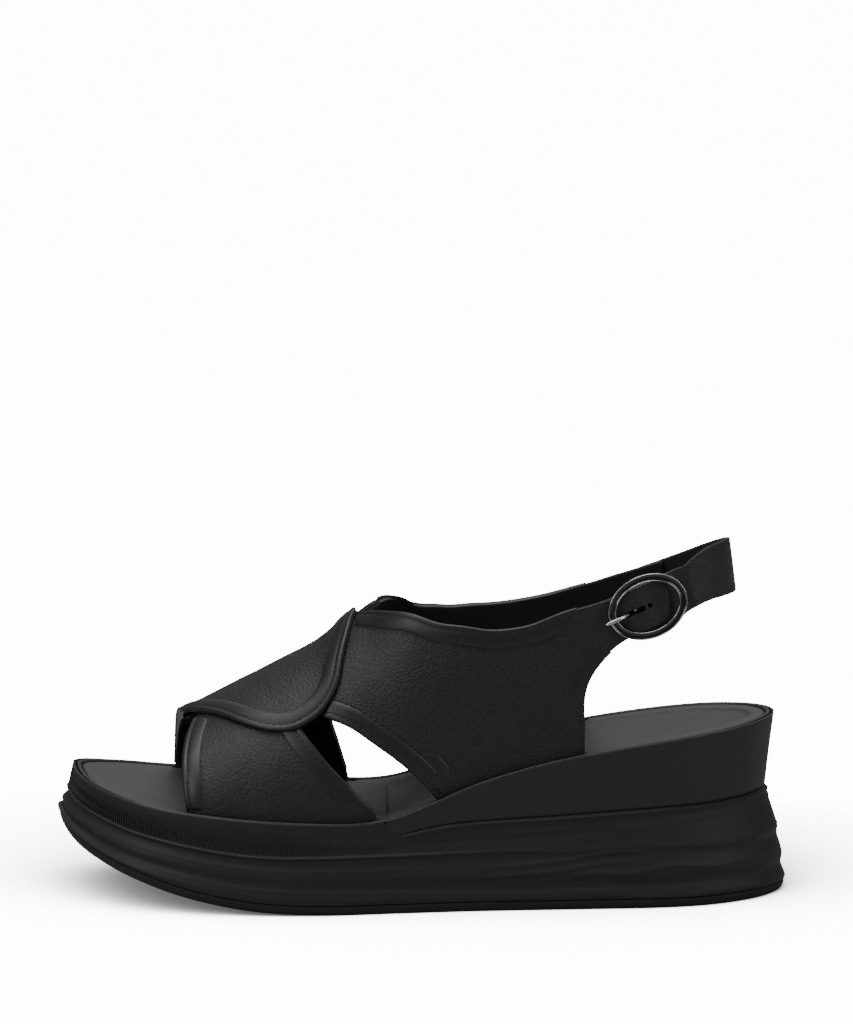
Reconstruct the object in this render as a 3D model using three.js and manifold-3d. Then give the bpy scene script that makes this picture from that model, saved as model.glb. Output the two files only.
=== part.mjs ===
// Wedge sandal, left shoe. Millimetres, +Z up, toe at -X, outer side at -Y,
// origin at the middle of the bounding box's base.
import * as THREE from 'three';
import Module from 'manifold-3d';

const wasm = await Module();
wasm.setup();

// ---------------------------------------------------------------- driving sizes
const SOLE_LENGTH = 255;      // overall length of the sole at its flared base
const SOLE_WIDTH = 92;        // overall width of the sole at the forefoot
const BASE_LENGTH = 255;      // length that the outline tables below are drawn at
const BASE_WIDTH = 92;        // width that the outline tables below are drawn at
const WEDGE_LIFT = 1.0;       // scale of the heel's rise above the forefoot
const UPPER_RISE = 1.0;       // scale of the straps' height above the footbed
const GAP = 0.3;              // clearance left between neighbouring pieces
const LINING = 0.8;           // thickness of the strap linings
const LEATHER = 1.2;          // thickness of the outer leather
const BAND = 0.7;             // thickness of the folded edge bands
const BAND_WIDTH = 6.3;       // width of the folded edge bands
const OUTSOLE = 3.4;          // thickness of the rubber outsole
const TRAY_DEPTH = 7.6;       // depth of the footbed tray under the rim line
const RIM_WALL = 3.5;         // thickness of the tray wall, bead seat included
const BEAD_OUT = 1.3;         // bead's outer face, in from the rim outline
const BEAD_WIDTH = 1.8;
const BEAD_HEIGHT = 2.0;
const TAB_DEPTH = 5.0;        // how far the strap ends go down inside the rim
const SOCK = 1.5;             // thickness of the sock lining
const CUSHION = 3.0;          // thickness of the foam footbed
const BOARD = 1.2;            // thickness of the insole board
const SHANK = [14, 1.2];      // width and thickness of the steel shank
const WIRE = 0.95;            // radius of the buckle frame's bar stock
const BAR = 0.8;              // radius of the buckle's centre bar
const BUCKLE = [28.5, 22.4];  // outer length and width of the buckle
const BAR_SHIFT = -4;         // centre bar, from the middle of the buckle
const BAR_DROP = -1.1;        // centre bar, below the inner face of the billet
const FRAME_CLEAR = 0.75;     // buckle ends above the billet
const UNDER_FRAME = 0.07;     // share of the frame's half sizes that its bar stock covers
const SEAT_BEND = 0.0028;     // how fast the frame drops towards its ends, per mm
const TONGUE = 0.7;           // radius of the buckle tongue
const QUARTER_BOW = 6.5;      // forward bend of the quarters across their middle
const STRAP_WIDTH = 15;       // width of the heel strap at the buckle

// Inner face of the straps, in from the rim outline: they go down just inside the tray wall.
const STRAP_INSET = RIM_WALL + LINING + LEATHER + 2 * GAP;
const kx = SOLE_LENGTH / BASE_LENGTH;
const ky = SOLE_WIDTH / BASE_WIDTH;

// ------------------------------------------------------------------- profiles
// Smooth curve through [x, value] knots, straight beyond the ends.
function curve(knots) {
  const slope = knots.map((k, i) => {
    const a = knots[Math.max(i - 1, 0)];
    const b = knots[Math.min(i + 1, knots.length - 1)];
    return (b[1] - a[1]) / (b[0] - a[0]);
  });
  return (x) => {
    const last = knots.length - 1;
    if (x <= knots[0][0]) return knots[0][1] + slope[0] * (x - knots[0][0]);
    if (x >= knots[last][0]) return knots[last][1] + slope[last] * (x - knots[last][0]);
    let i = 0;
    while (x > knots[i + 1][0]) i += 1;
    const h = knots[i + 1][0] - knots[i][0];
    const t = (x - knots[i][0]) / h;
    return (2 * t ** 3 - 3 * t * t + 1) * knots[i][1] + (t ** 3 - 2 * t * t + t) * h * slope[i]
      + (3 * t * t - 2 * t ** 3) * knots[i + 1][1] + (t ** 3 - t * t) * h * slope[i + 1];
  };
}
const along = (knots, lift = 1) => {
  const f = curve(knots.map(([x, z]) => [x * kx, z]));
  const level = 32;
  return (x) => (f(x) > level ? level + (f(x) - level) * lift : f(x));
};

// Side-view lines of the sole, toe to heel.
const soleBottom = along([[-127, 23], [-118, 17.8], [-109, 14], [-98, 10.4], [-88, 7.4],
  [-77, 4.7], [-60, 1.7], [-44, 0.4], [-30, 0], [-18, 0], [60, 0], [127, 0]]);
const rimLine = along([[-124, 44], [-112, 40.2], [-95, 37], [-84, 35.6], [-60, 33.4],
  [-38, 32.2], [-20, 32], [-8, 34], [6, 39.3], [20, 45], [39, 50.6], [57, 54.5], [80, 58.2],
  [100, 60.8], [124, 63.3]], WEDGE_LIFT);
const seamLine = along([[-8, 27.3], [10, 30.6], [45, 32.5], [80, 34.5], [104, 35.4], [122, 36.5]]);
const ridgeOne = along([[-124, 34.5], [-112, 30.3], [-95, 26.3], [-60, 20.9], [-25, 20.3],
  [40, 21], [125, 21.9]]);
const ridgeTwo = along([[-127, 31], [-112, 25], [-95, 20.5], [-60, 14.9], [-25, 13.4],
  [125, 13.2]]);
const ridgeThree = along([[-127, 27.8], [-112, 19.6], [-95, 14.6], [-60, 7.6], [-40, 6.1],
  [-20, 5.6], [125, 4.9]]);
// How far the base stands out beyond the rim outline.
const flare = along([[-127, 5.6], [-100, 4], [-60, 3], [60, 3], [110, 3.6], [127, 4]]);

// Rim outline in plan, toe, outer side, heel, inner side.
const RIM = [[-121.5, 9], [-118.5, -8], [-111, -21], [-98, -33.5], [-80, -41], [-55, -44],
  [-30, -43.2], [-8, -39.8], [20, -36], [55, -33], [82, -30.5], [100, -25.5], [114, -16],
  [121.5, -5], [123, 4], [119.5, 14], [110, 22.5], [95, 28.5], [70, 31.5], [35, 31], [5, 32],
  [-25, 37], [-55, 41.5], [-82, 41], [-102, 35.5], [-114, 27], [-120, 18]];

function rimPolygon() {
  const out = [];
  const n = RIM.length;
  for (let i = 0; i < n; i += 1) {
    const [p0, p1, p2, p3] = [-1, 0, 1, 2].map((k) => RIM[(i + k + n) % n]);
    for (let k = 0; k < 8; k += 1) {
      const t = k / 8;
      out.push([0, 1].map((c) => 0.5 * (2 * p1[c] + (p2[c] - p0[c]) * t
        + (2 * p0[c] - 5 * p1[c] + 4 * p2[c] - p3[c]) * t * t
        + (3 * p1[c] - p0[c] - 3 * p2[c] + p3[c]) * t ** 3) * (c ? ky : kx)));
    }
  }
  return out;
}
const RIM_POLYGON = rimPolygon();

// Outline at a distance from the rim outline; the distance may change along X.
function outline(distance) {
  const d = typeof distance === 'function' ? distance : () => distance;
  const n = RIM_POLYGON.length;
  let pts = RIM_POLYGON.map((p, i) => {
    const a = RIM_POLYGON[(i + n - 1) % n];
    const b = RIM_POLYGON[(i + 1) % n];
    const len = Math.hypot(b[0] - a[0], b[1] - a[1]);
    return [p[0] + (b[1] - a[1]) / len * d(p[0]), p[1] - (b[0] - a[0]) / len * d(p[0])];
  });
  const toe = pts.reduce((m, p, i) => (p[0] < pts[m][0] ? i : m), 0);
  pts = [...pts.slice(toe), ...pts.slice(0, toe)];
  const heel = pts.reduce((m, p, i) => (p[0] > pts[m][0] ? i : m), 0);
  const sides = [pts.slice(0, heel + 1), [...pts.slice(heel), pts[0]].reverse()];
  const side = (list) => (x) => {
    if (x <= list[0][0]) return list[0][1];
    for (let i = 1; i < list.length; i += 1) {
      if (x <= list[i][0]) {
        const t = (x - list[i - 1][0]) / (list[i][0] - list[i - 1][0]);
        return list[i - 1][1] + (list[i][1] - list[i - 1][1]) * t;
      }
    }
    return list[list.length - 1][1];
  };
  return { toe: pts[0], heel: pts[heel], outer: side(sides[0]), inner: side(sides[1]) };
}

// ---------------------------------------------------------------- solid builders
class Shell {
  constructor() { this.points = []; this.faces = []; }

  add(p) { this.points.push(p); return this.points.length - 1; }

  quad(a, b, c, d) { this.faces.push([a, b, c], [a, c, d]); }

  // Geometry with its faces turned outwards.
  geometry() {
    let volume = 0;
    for (const f of this.faces) {
      const [a, b, c] = f.map((i) => new THREE.Vector3(...this.points[i]));
      volume += a.dot(b.cross(c));
    }
    const faces = volume < 0 ? this.faces.map(([a, b, c]) => [a, c, b]) : this.faces;
    const g = new THREE.BufferGeometry();
    g.setAttribute('position', new THREE.Float32BufferAttribute(this.points.flat(), 3));
    g.setIndex(faces.flat());
    return g;
  }
}

// Ring of points round the sole at stations shared by every layer.
const RING_STEPS = 30;
const NOTCH = [-13.2, -8];    // wedge's front joint, at the rim and at the seam
const WEDGE_TIP = -11.8;      // blunt front end of the wedge, behind that joint
function stations() {
  const base = outline(0);
  const s = [];
  for (let k = 0; k <= RING_STEPS; k += 1) s.push((1 - Math.cos(Math.PI * k / RING_STEPS)) / 2);
  const fixed = [NOTCH[0], WEDGE_TIP, NOTCH[1]].map((x) => (x * kx - base.toe[0]) / (base.heel[0] - base.toe[0]));
  return [...s.filter((v) => fixed.every((f) => Math.abs(f - v) > 0.012)), ...fixed]
    .sort((a, b) => a - b);
}
const STATIONS = stations();
const RIM_ENDS = [outline(0).toe[0], outline(0).heel[0]];
const stationX = (s) => RIM_ENDS[0] + (RIM_ENDS[1] - RIM_ENDS[0]) * s;
const WEDGE_FROM = STATIONS.findIndex((s) => stationX(s) > (WEDGE_TIP - 0.1) * kx);

function ring(distance, height, from = 0) {
  const line = outline(distance);
  const x = (s) => stationX(s) + (line.toe[0] - RIM_ENDS[0]) * (1 - s) ** 6
    + (line.heel[0] - RIM_ENDS[1]) * s ** 6;
  const outer = [];
  const inner = [];
  STATIONS.slice(from).forEach((s) => {
    const closed = s === 0 || s === 1;
    const end = s === 0 ? line.toe : line.heel;
    const px = closed ? end[0] : x(s);
    outer.push([px, closed ? end[1] : line.outer(px), height(px)]);
    if (!closed) inner.push([px, line.inner(px), height(px)]);
  });
  return [...outer, ...inner.reverse()];
}

// Solid through a stack of rings, closed by ladders of flat strips.
function stack(rings) {
  const shell = new Shell();
  const n = rings[0].length;
  const ids = rings.map((r) => r.map((p) => shell.add(p)));
  for (let k = 0; k + 1 < ids.length; k += 1) {
    for (let i = 0; i < n; i += 1) {
      const j = (i + 1) % n;
      shell.quad(ids[k][i], ids[k][j], ids[k + 1][j], ids[k + 1][i]);
    }
  }
  const cap = (r, flip) => {
    const face = (...f) => shell.faces.push(flip ? f.reverse() : f);
    let [a, b] = [0, n - 1];
    while (b - a > 1) {
      face(r[a], r[a + 1], r[b]);
      if (b - a > 2) face(r[a + 1], r[b - 1], r[b]);
      a += 1;
      b -= 1;
    }
  };
  cap(ids[ids.length - 1], false);
  cap(ids[0], true);
  return shell.geometry();
}

// Solid whose rings close on themselves, such as the rim bead.
function loop(rings) {
  const shell = new Shell();
  const n = rings[0].length;
  const ids = rings.map((r) => r.map((p) => shell.add(p)));
  for (let k = 0; k < ids.length; k += 1) {
    const next = ids[(k + 1) % ids.length];
    for (let i = 0; i < n; i += 1) {
      const j = (i + 1) % n;
      shell.quad(ids[k][i], ids[k][j], next[j], next[i]);
    }
  }
  return shell.geometry();
}

// Solid between two grids of points that share their border.
function slab(lower, upper) {
  const shell = new Shell();
  const rows = lower.length;
  const cols = lower[0].length;
  const lo = lower.map((r) => r.map((p) => shell.add(p)));
  const hi = upper.map((r) => r.map((p) => shell.add(p)));
  for (let i = 0; i + 1 < rows; i += 1) {
    for (let j = 0; j + 1 < cols; j += 1) {
      shell.quad(hi[i][j], hi[i + 1][j], hi[i + 1][j + 1], hi[i][j + 1]);
      shell.quad(lo[i][j], lo[i][j + 1], lo[i + 1][j + 1], lo[i + 1][j]);
    }
  }
  for (let i = 0; i + 1 < rows; i += 1) {
    shell.quad(lo[i][0], lo[i + 1][0], hi[i + 1][0], hi[i][0]);
    shell.quad(lo[i + 1][cols - 1], lo[i][cols - 1], hi[i][cols - 1], hi[i + 1][cols - 1]);
  }
  for (let j = 0; j + 1 < cols; j += 1) {
    shell.quad(lo[0][j + 1], lo[0][j], hi[0][j], hi[0][j + 1]);
    shell.quad(lo[rows - 1][j], lo[rows - 1][j + 1], hi[rows - 1][j + 1], hi[rows - 1][j]);
  }
  return shell.geometry();
}

function solid(geometry) {
  return new wasm.Manifold(new wasm.Mesh({
    numProp: 3,
    vertProperties: new Float32Array(geometry.attributes.position.array),
    triVerts: new Uint32Array(geometry.index.array),
  }));
}

function geometryOf(manifold) {
  const mesh = manifold.getMesh();
  const points = [];
  for (let i = 0; i < mesh.vertProperties.length; i += mesh.numProp) {
    points.push(...mesh.vertProperties.slice(i, i + 3));
  }
  const g = new THREE.BufferGeometry();
  g.setAttribute('position', new THREE.Float32BufferAttribute(points, 3));
  g.setIndex([...mesh.triVerts]);
  return g;
}

const cut = (geometry, ...cutters) => geometryOf(
  cutters.reduce((m, c) => m.subtract(solid(c)), solid(geometry)));

// ------------------------------------------------------------ surface of the upper
// The straps lie on a last: half ellipses from rim to rim, angle 0 at the outer
// side, 90 at the crest and 180 at the inner side, straight down beyond both ends.
const crestLine = along([[-92, 54.5], [-83, 58.8], [-65, 68.3], [-45, 79], [-34, 85.5],
  [-25, 93.5], [-14, 103], [0, 123], [20, 150], [50, 168], [95, 176]]);
const crestSide = along([[-90, 4], [-60, 2.5], [-30, 0.5], [0, -1], [50, -1], [95, 0]]);
const foot = outline(-STRAP_INSET);
const TAB_ANGLE = 24;

function last(x, angle) {
  const base = rimLine(x) - 0.5;
  const outer = angle < 90;
  const side = outer ? foot.outer(x) : foot.inner(x);
  if (angle < 0 || angle > 180) {
    const beyond = angle < 0 ? -angle : angle - 180;
    return [x, side, base - beyond / TAB_ANGLE * TAB_DEPTH];
  }
  const a = angle * Math.PI / 180;
  const middle = crestSide(x);
  const top = base + (crestLine(x) - rimLine(x)) * UPPER_RISE;
  return [x, middle + (side - middle) * Math.abs(Math.cos(a)), base + (top - base) * Math.sin(a)];
}

function lastNormal(x, angle) {
  const e = 0.4;
  const d = (p, q) => new THREE.Vector3(...p.map((v, i) => v - q[i]));
  const dx = d(last(x + e, angle), last(x - e, angle));
  const da = d(last(x, angle + e), last(x, angle - e));
  return dx.cross(da).normalize();
}

function onLast(x, angle, height) {
  const n = lastNormal(x, angle);
  const p = last(x, angle);
  return [p[0] + n.x * height, p[1] + n.y * height, p[2] + n.z * height];
}

// Smooth path through [u, x, angle] knots.
function edge(knots) {
  const x = curve(knots.map((k) => [k[0], k[1]]));
  const a = curve(knots.map((k) => [k[0], k[2]]));
  return (u) => [x(u) * kx, a(u)];
}

// Edge moved sideways over the last by a width; side is +1 or -1.
function moved(path, width, side) {
  return (u) => {
    const e = 0.004;
    let [x, a] = path(u);
    const [xa, aa] = path(u - e);
    const [xb, ab] = path(u + e);
    const t = new THREE.Vector3(...last(xb, ab)).sub(new THREE.Vector3(...last(xa, aa)));
    const steps = 4;
    for (let i = 0; i < steps; i += 1) {
      const n = lastNormal(x, a);
      const dir = new THREE.Vector3().crossVectors(n, t).normalize()
        .multiplyScalar(side * width / steps);
      const o = new THREE.Vector3(...last(x, a));
      const gx = new THREE.Vector3(...last(x + 0.5, a)).sub(o).multiplyScalar(2);
      const ga = new THREE.Vector3(...last(x, a + 0.5)).sub(o).multiplyScalar(2);
      const [xx, xy, yy] = [gx.dot(gx), gx.dot(ga), ga.dot(ga)];
      const det = xx * yy - xy * xy;
      const [rx, ry] = [gx.dot(dir), ga.dot(dir)];
      x += (rx * yy - ry * xy) / det;
      a += (ry * xx - rx * xy) / det;
    }
    return [x, a];
  };
}

// Closed piece of material on the last between two edges; nu is a count of even steps
// along the edges, or a list of the values of u to use. bow(u) bends a line across the
// piece forwards by that much at its middle.
function patch(first, second, low, high, nu, nv, uFrom = 0, uTo = 1, bow = () => 0) {
  const at = (u, v) => {
    const [p, q] = [first(u), second(u)];
    const bent = bow(u) * Math.sin(Math.PI * v);
    return [p[0] + (q[0] - p[0]) * v - bent, p[1] + (q[1] - p[1]) * v];
  };
  const us = Array.isArray(nu) ? nu : [...Array(nu + 1).keys()].map((i) => i / nu);
  const grid = (height) => us.map((t) => [...Array(nv + 1).keys()].map((j) => {
    const [x, a] = at(uFrom + (uTo - uFrom) * t, j / nv);
    return onLast(x, a, typeof height === 'function' ? height(x, a) : height);
  }));
  return slab(grid(low), grid(high));
}

// Heights of the layers above the last.
const OUTER_LOW = LINING + GAP;
const OUTER_HIGH = OUTER_LOW + LEATHER;
const BAND_LOW = OUTER_HIGH + GAP;
const BAND_HIGH = BAND_LOW + BAND;

// ------------------------------------------------------------------ buckle frame
// Local axes at the buckle: along the strap, across it and out from the ankle.
const BUCKLE_AT = [78.4 * kx, 24.6];
function buckleAxes() {
  const o = new THREE.Vector3(...last(...BUCKLE_AT));
  const n = lastNormal(...BUCKLE_AT);
  const ahead = new THREE.Vector3(...last(BUCKLE_AT[0] + 6, BUCKLE_AT[1] + 0.88));
  const u = ahead.sub(o);
  u.addScaledVector(n, -u.dot(n)).normalize();
  return { o, u, n, v: new THREE.Vector3().crossVectors(n, u) };
}
const AXES = buckleAxes();
const atBuckle = (u, v, n) => {
  const p = AXES.o.clone().addScaledVector(AXES.u, u).addScaledVector(AXES.v, v)
    .addScaledVector(AXES.n, n);
  return [p.x, p.y, p.z];
};
const alongBuckle = (x, angle) => {
  const p = new THREE.Vector3(...last(x, angle)).sub(AXES.o);
  return [p.dot(AXES.u), p.dot(AXES.n)];
};

const LOOP = 0.9;                             // leather that wraps the centre bar
const LOOP_IN = BAR + GAP;                    // loop's inner radius
const LOOP_OUT = LOOP_IN + LOOP;
const BILLET_BUMP = BAR_DROP + LOOP_OUT + GAP;
// The billet rises where it passes over the wrapped bar.
function billetRise(x, angle) {
  const [u, n] = alongBuckle(x, angle);
  const t = Math.max(0, 1 - Math.abs(u - BAR_SHIFT) / 8);
  return (BILLET_BUMP - n) * t * t * (3 - 2 * t);
}

// Straight rod or ring with a round section, swept through a list of points.
function sweep(points, radius, sides, closed, up) {
  const shell = new Shell();
  const n = points.length;
  const rings = points.map((p, i) => {
    const a = points[closed ? (i + n - 1) % n : Math.max(i - 1, 0)];
    const b = points[closed ? (i + 1) % n : Math.min(i + 1, n - 1)];
    const t = new THREE.Vector3(...b).sub(new THREE.Vector3(...a)).normalize();
    const side = new THREE.Vector3().crossVectors(up, t).normalize();
    const top = new THREE.Vector3().crossVectors(t, side);
    return [...Array(sides).keys()].map((k) => {
      const w = 2 * Math.PI * (k + 0.5) / sides;
      const q = new THREE.Vector3(...p).addScaledVector(side, Math.cos(w) * radius)
        .addScaledVector(top, Math.sin(w) * radius);
      return shell.add([q.x, q.y, q.z]);
    });
  });
  for (let i = 0; i + (closed ? 0 : 1) < n; i += 1) {
    const [r, q] = [rings[i], rings[(i + 1) % n]];
    for (let k = 0; k < sides; k += 1) {
      const m = (k + 1) % sides;
      shell.quad(r[k], r[m], q[m], q[k]);
    }
  }
  if (!closed) {
    for (let k = 1; k + 1 < sides; k += 1) {
      shell.faces.push([rings[0][0], rings[0][k + 1], rings[0][k]]);
      shell.faces.push([rings[n - 1][0], rings[n - 1][k], rings[n - 1][k + 1]]);
    }
  }
  return shell.geometry();
}

// Block between two corners given in the buckle's own axes.
function buckleBlock([u0, u1], [v0, v1], [n0, n1]) {
  return slab([[atBuckle(u0, v0, n0), atBuckle(u1, v0, n0)], [atBuckle(u0, v1, n0),
    atBuckle(u1, v1, n0)]], [[atBuckle(u0, v0, n1), atBuckle(u1, v0, n1)],
    [atBuckle(u0, v1, n1), atBuckle(u1, v1, n1)]]);
}

// Flat strap of even thickness through stations of centre, width and width direction.
function ribbon(list, thickness, shift = 0) {
  const rows = (height) => list.map((s, i) => {
    const a = new THREE.Vector3(...list[Math.max(i - 1, 0)].at);
    const b = new THREE.Vector3(...list[Math.min(i + 1, list.length - 1)].at);
    const across = new THREE.Vector3(...s.across).normalize();
    const up = new THREE.Vector3().crossVectors(b.sub(a), across).normalize();
    return [-0.5, 0, 0.5].map((w) => {
      const p = new THREE.Vector3(...s.at).addScaledVector(across, w * s.width)
        .addScaledVector(up, height);
      return [p.x, p.y, p.z];
    });
  });
  return slab(rows(shift - thickness / 2), rows(shift + thickness / 2));
}

// Part of a path, run from one value of u to another.
const span = (path, from, to) => (u) => path(from + (to - from) * u);

// ------------------------------------------------------------------ strap outlines
// Knots are [u, x, angle on the last].
const TAB = -TAB_ANGLE;
const FRONT_TOE_EDGE = edge([[0, -80, TAB], [0.1, -80.4, -1], [0.25, -81.3, 14],
  [0.4, -81.9, 33], [0.55, -81.4, 47], [0.66, -80.4, 58], [0.8, -78.9, 68], [0.92, -77.3, 77],
  [1, -76, 83.5]]);
const FRONT_HEEL_EDGE = edge([[0, -12.2, TAB], [0.1, -15.6, -1], [0.25, -23.5, 9.5],
  [0.4, -32.5, 21.5], [0.55, -40, 35], [0.66, -45, 47.5], [0.8, -54, 58], [0.92, -65, 71],
  [1, -72, 80]]);
const QUARTER_LOW = [[0, 29, TAB], [0.12, 33, TAB], [0.22, 37, TAB], [0.28, 40, TAB],
  [0.34, 43.5, TAB], [0.45, 49.5, TAB], [0.55, 56.8, TAB], [0.62, 56.5, -6], [0.7, 56.3, 4],
  [0.78, 57, 11.3], [0.86, 62.9, 16], [0.93, 73, 19.3], [1, 90.5, 21.8]];
const OUTER_LOW_EDGE = edge(QUARTER_LOW);
const OUTER_TOP_EDGE = edge([[0, -42, 50], [0.12, -37.5, 67], [0.22, -30, 89],
  [0.28, -22.4, 89.3], [0.34, -17, 79.5], [0.45, -8, 61], [0.55, 3.5, 43.8], [0.62, 12, 35.6],
  [0.7, 23, 29.2], [0.78, 36, 26.2], [0.86, 49, 26.4], [0.93, 66, 27.2], [1, 91, 31.5]]);
const TAIL_END = 84;
// The quarters' concave top edge: lines across them bend forwards to stay below it.
const quarterBow = (u) => {
  const t = Math.max(0, 1 - Math.abs(u - 0.3) / 0.3);
  return QUARTER_BOW * t * t * (3 - 2 * t);
};
const INNER_LOW_EDGE = edge([...QUARTER_LOW.slice(0, -1).map(([u, x, a]) => [u, x, 180 - a]),
  [1, TAIL_END, 160.6]]);
const INNER_TOP_EDGE = edge([[0, -41, 136], [0.12, -37, 115], [0.22, -29.5, 97],
  [0.28, -21.5, 91.4], [0.34, -14.5, 105], [0.45, -4, 130.5], [0.55, 7, 143], [0.62, 16, 149],
  [0.7, 27.8, 153], [0.78, 41.8, 155], [0.86, 55.8, 155], [0.93, 69.6, 154],
  [1, TAIL_END, 152.5]]);
const PANEL_TOE_EDGE = edge([[0, -45, 39.5], [0.07, -50.3, 41.5], [0.14, -56.7, 46.5],
  [0.22, -63.2, 54.5], [0.32, -72.9, 72], [0.38, -78.5, 84.5], [0.43, -81.4, 92],
  [0.5, -82.9, 104], [0.6, -83.8, 122], [0.72, -84.7, 143], [0.84, -85.4, 162],
  [0.92, -85.7, 176], [1, -85.2, 180 - TAB]]);
const PANEL_HEEL_EDGE = edge([[0, -43, 39.6], [0.05, -38.5, 40.5], [0.1, -33.5, 43],
  [0.14, -29.9, 47], [0.18, -27.6, 52], [0.24, -25.9, 61], [0.3, -24, 71], [0.36, -22.2, 82],
  [0.41, -20.9, 93], [0.5, -24, 112], [0.6, -30, 131], [0.68, -33.6, 144], [0.76, -32.4, 156],
  [0.84, -29.5, 167], [0.92, -25.8, 179], [1, -22.5, 180 - TAB]]);
const LINING_TOE_EDGE = edge([[0, -81, 91.5], [0.1, -82.4, 99], [0.25, -83.3, 114],
  [0.4, -84.2, 132], [0.55, -85, 150], [0.7, -85.5, 166], [0.85, -85.5, 182],
  [1, -85, 180 - TAB]]);
const LINING_HEEL_EDGE = edge([[0, -44.5, 55], [0.1, -39.5, 70], [0.25, -34.5, 91],
  [0.35, -35.5, 103], [0.45, -41, 119], [0.55, -45.5, 138], [0.63, -41, 148],
  [0.7, -34.5, 158], [0.78, -30.5, 166], [0.85, -26.3, 179], [1, -22.9, 180 - TAB]]);
const PANEL_EDGE = edge([[0, -85.7, 176.5], [0.08, -85.2, 160], [0.16, -84.5, 140],
  [0.24, -83.7, 120], [0.31, -82.9, 104], [0.36, -81.4, 92], [0.39, -78.5, 84.5],
  [0.43, -72.9, 72], [0.49, -63.2, 54.5], [0.53, -56.7, 46.5], [0.57, -50.3, 41.5],
  [0.6, -44, 39.5], [0.63, -38.5, 40.5], [0.66, -33.5, 43], [0.69, -29.9, 47],
  [0.72, -27.6, 52], [0.75, -25.9, 61], [0.78, -24, 71], [0.81, -22.2, 82],
  [0.84, -20.9, 93], [0.88, -24, 112], [0.92, -30, 131], [0.95, -33.6, 144],
  [0.97, -32.4, 156], [0.985, -29.5, 167], [1, -26.6, 176.5]]);
// The crossover panel steps down to its lining below the inner quarter's front corner.
const stepDown = (angle) => {
  const t = Math.min(1, Math.max(0, (angle - 148) / 26));
  return (OUTER_LOW - BAND_LOW) * t * t * (3 - 2 * t);
};

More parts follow.
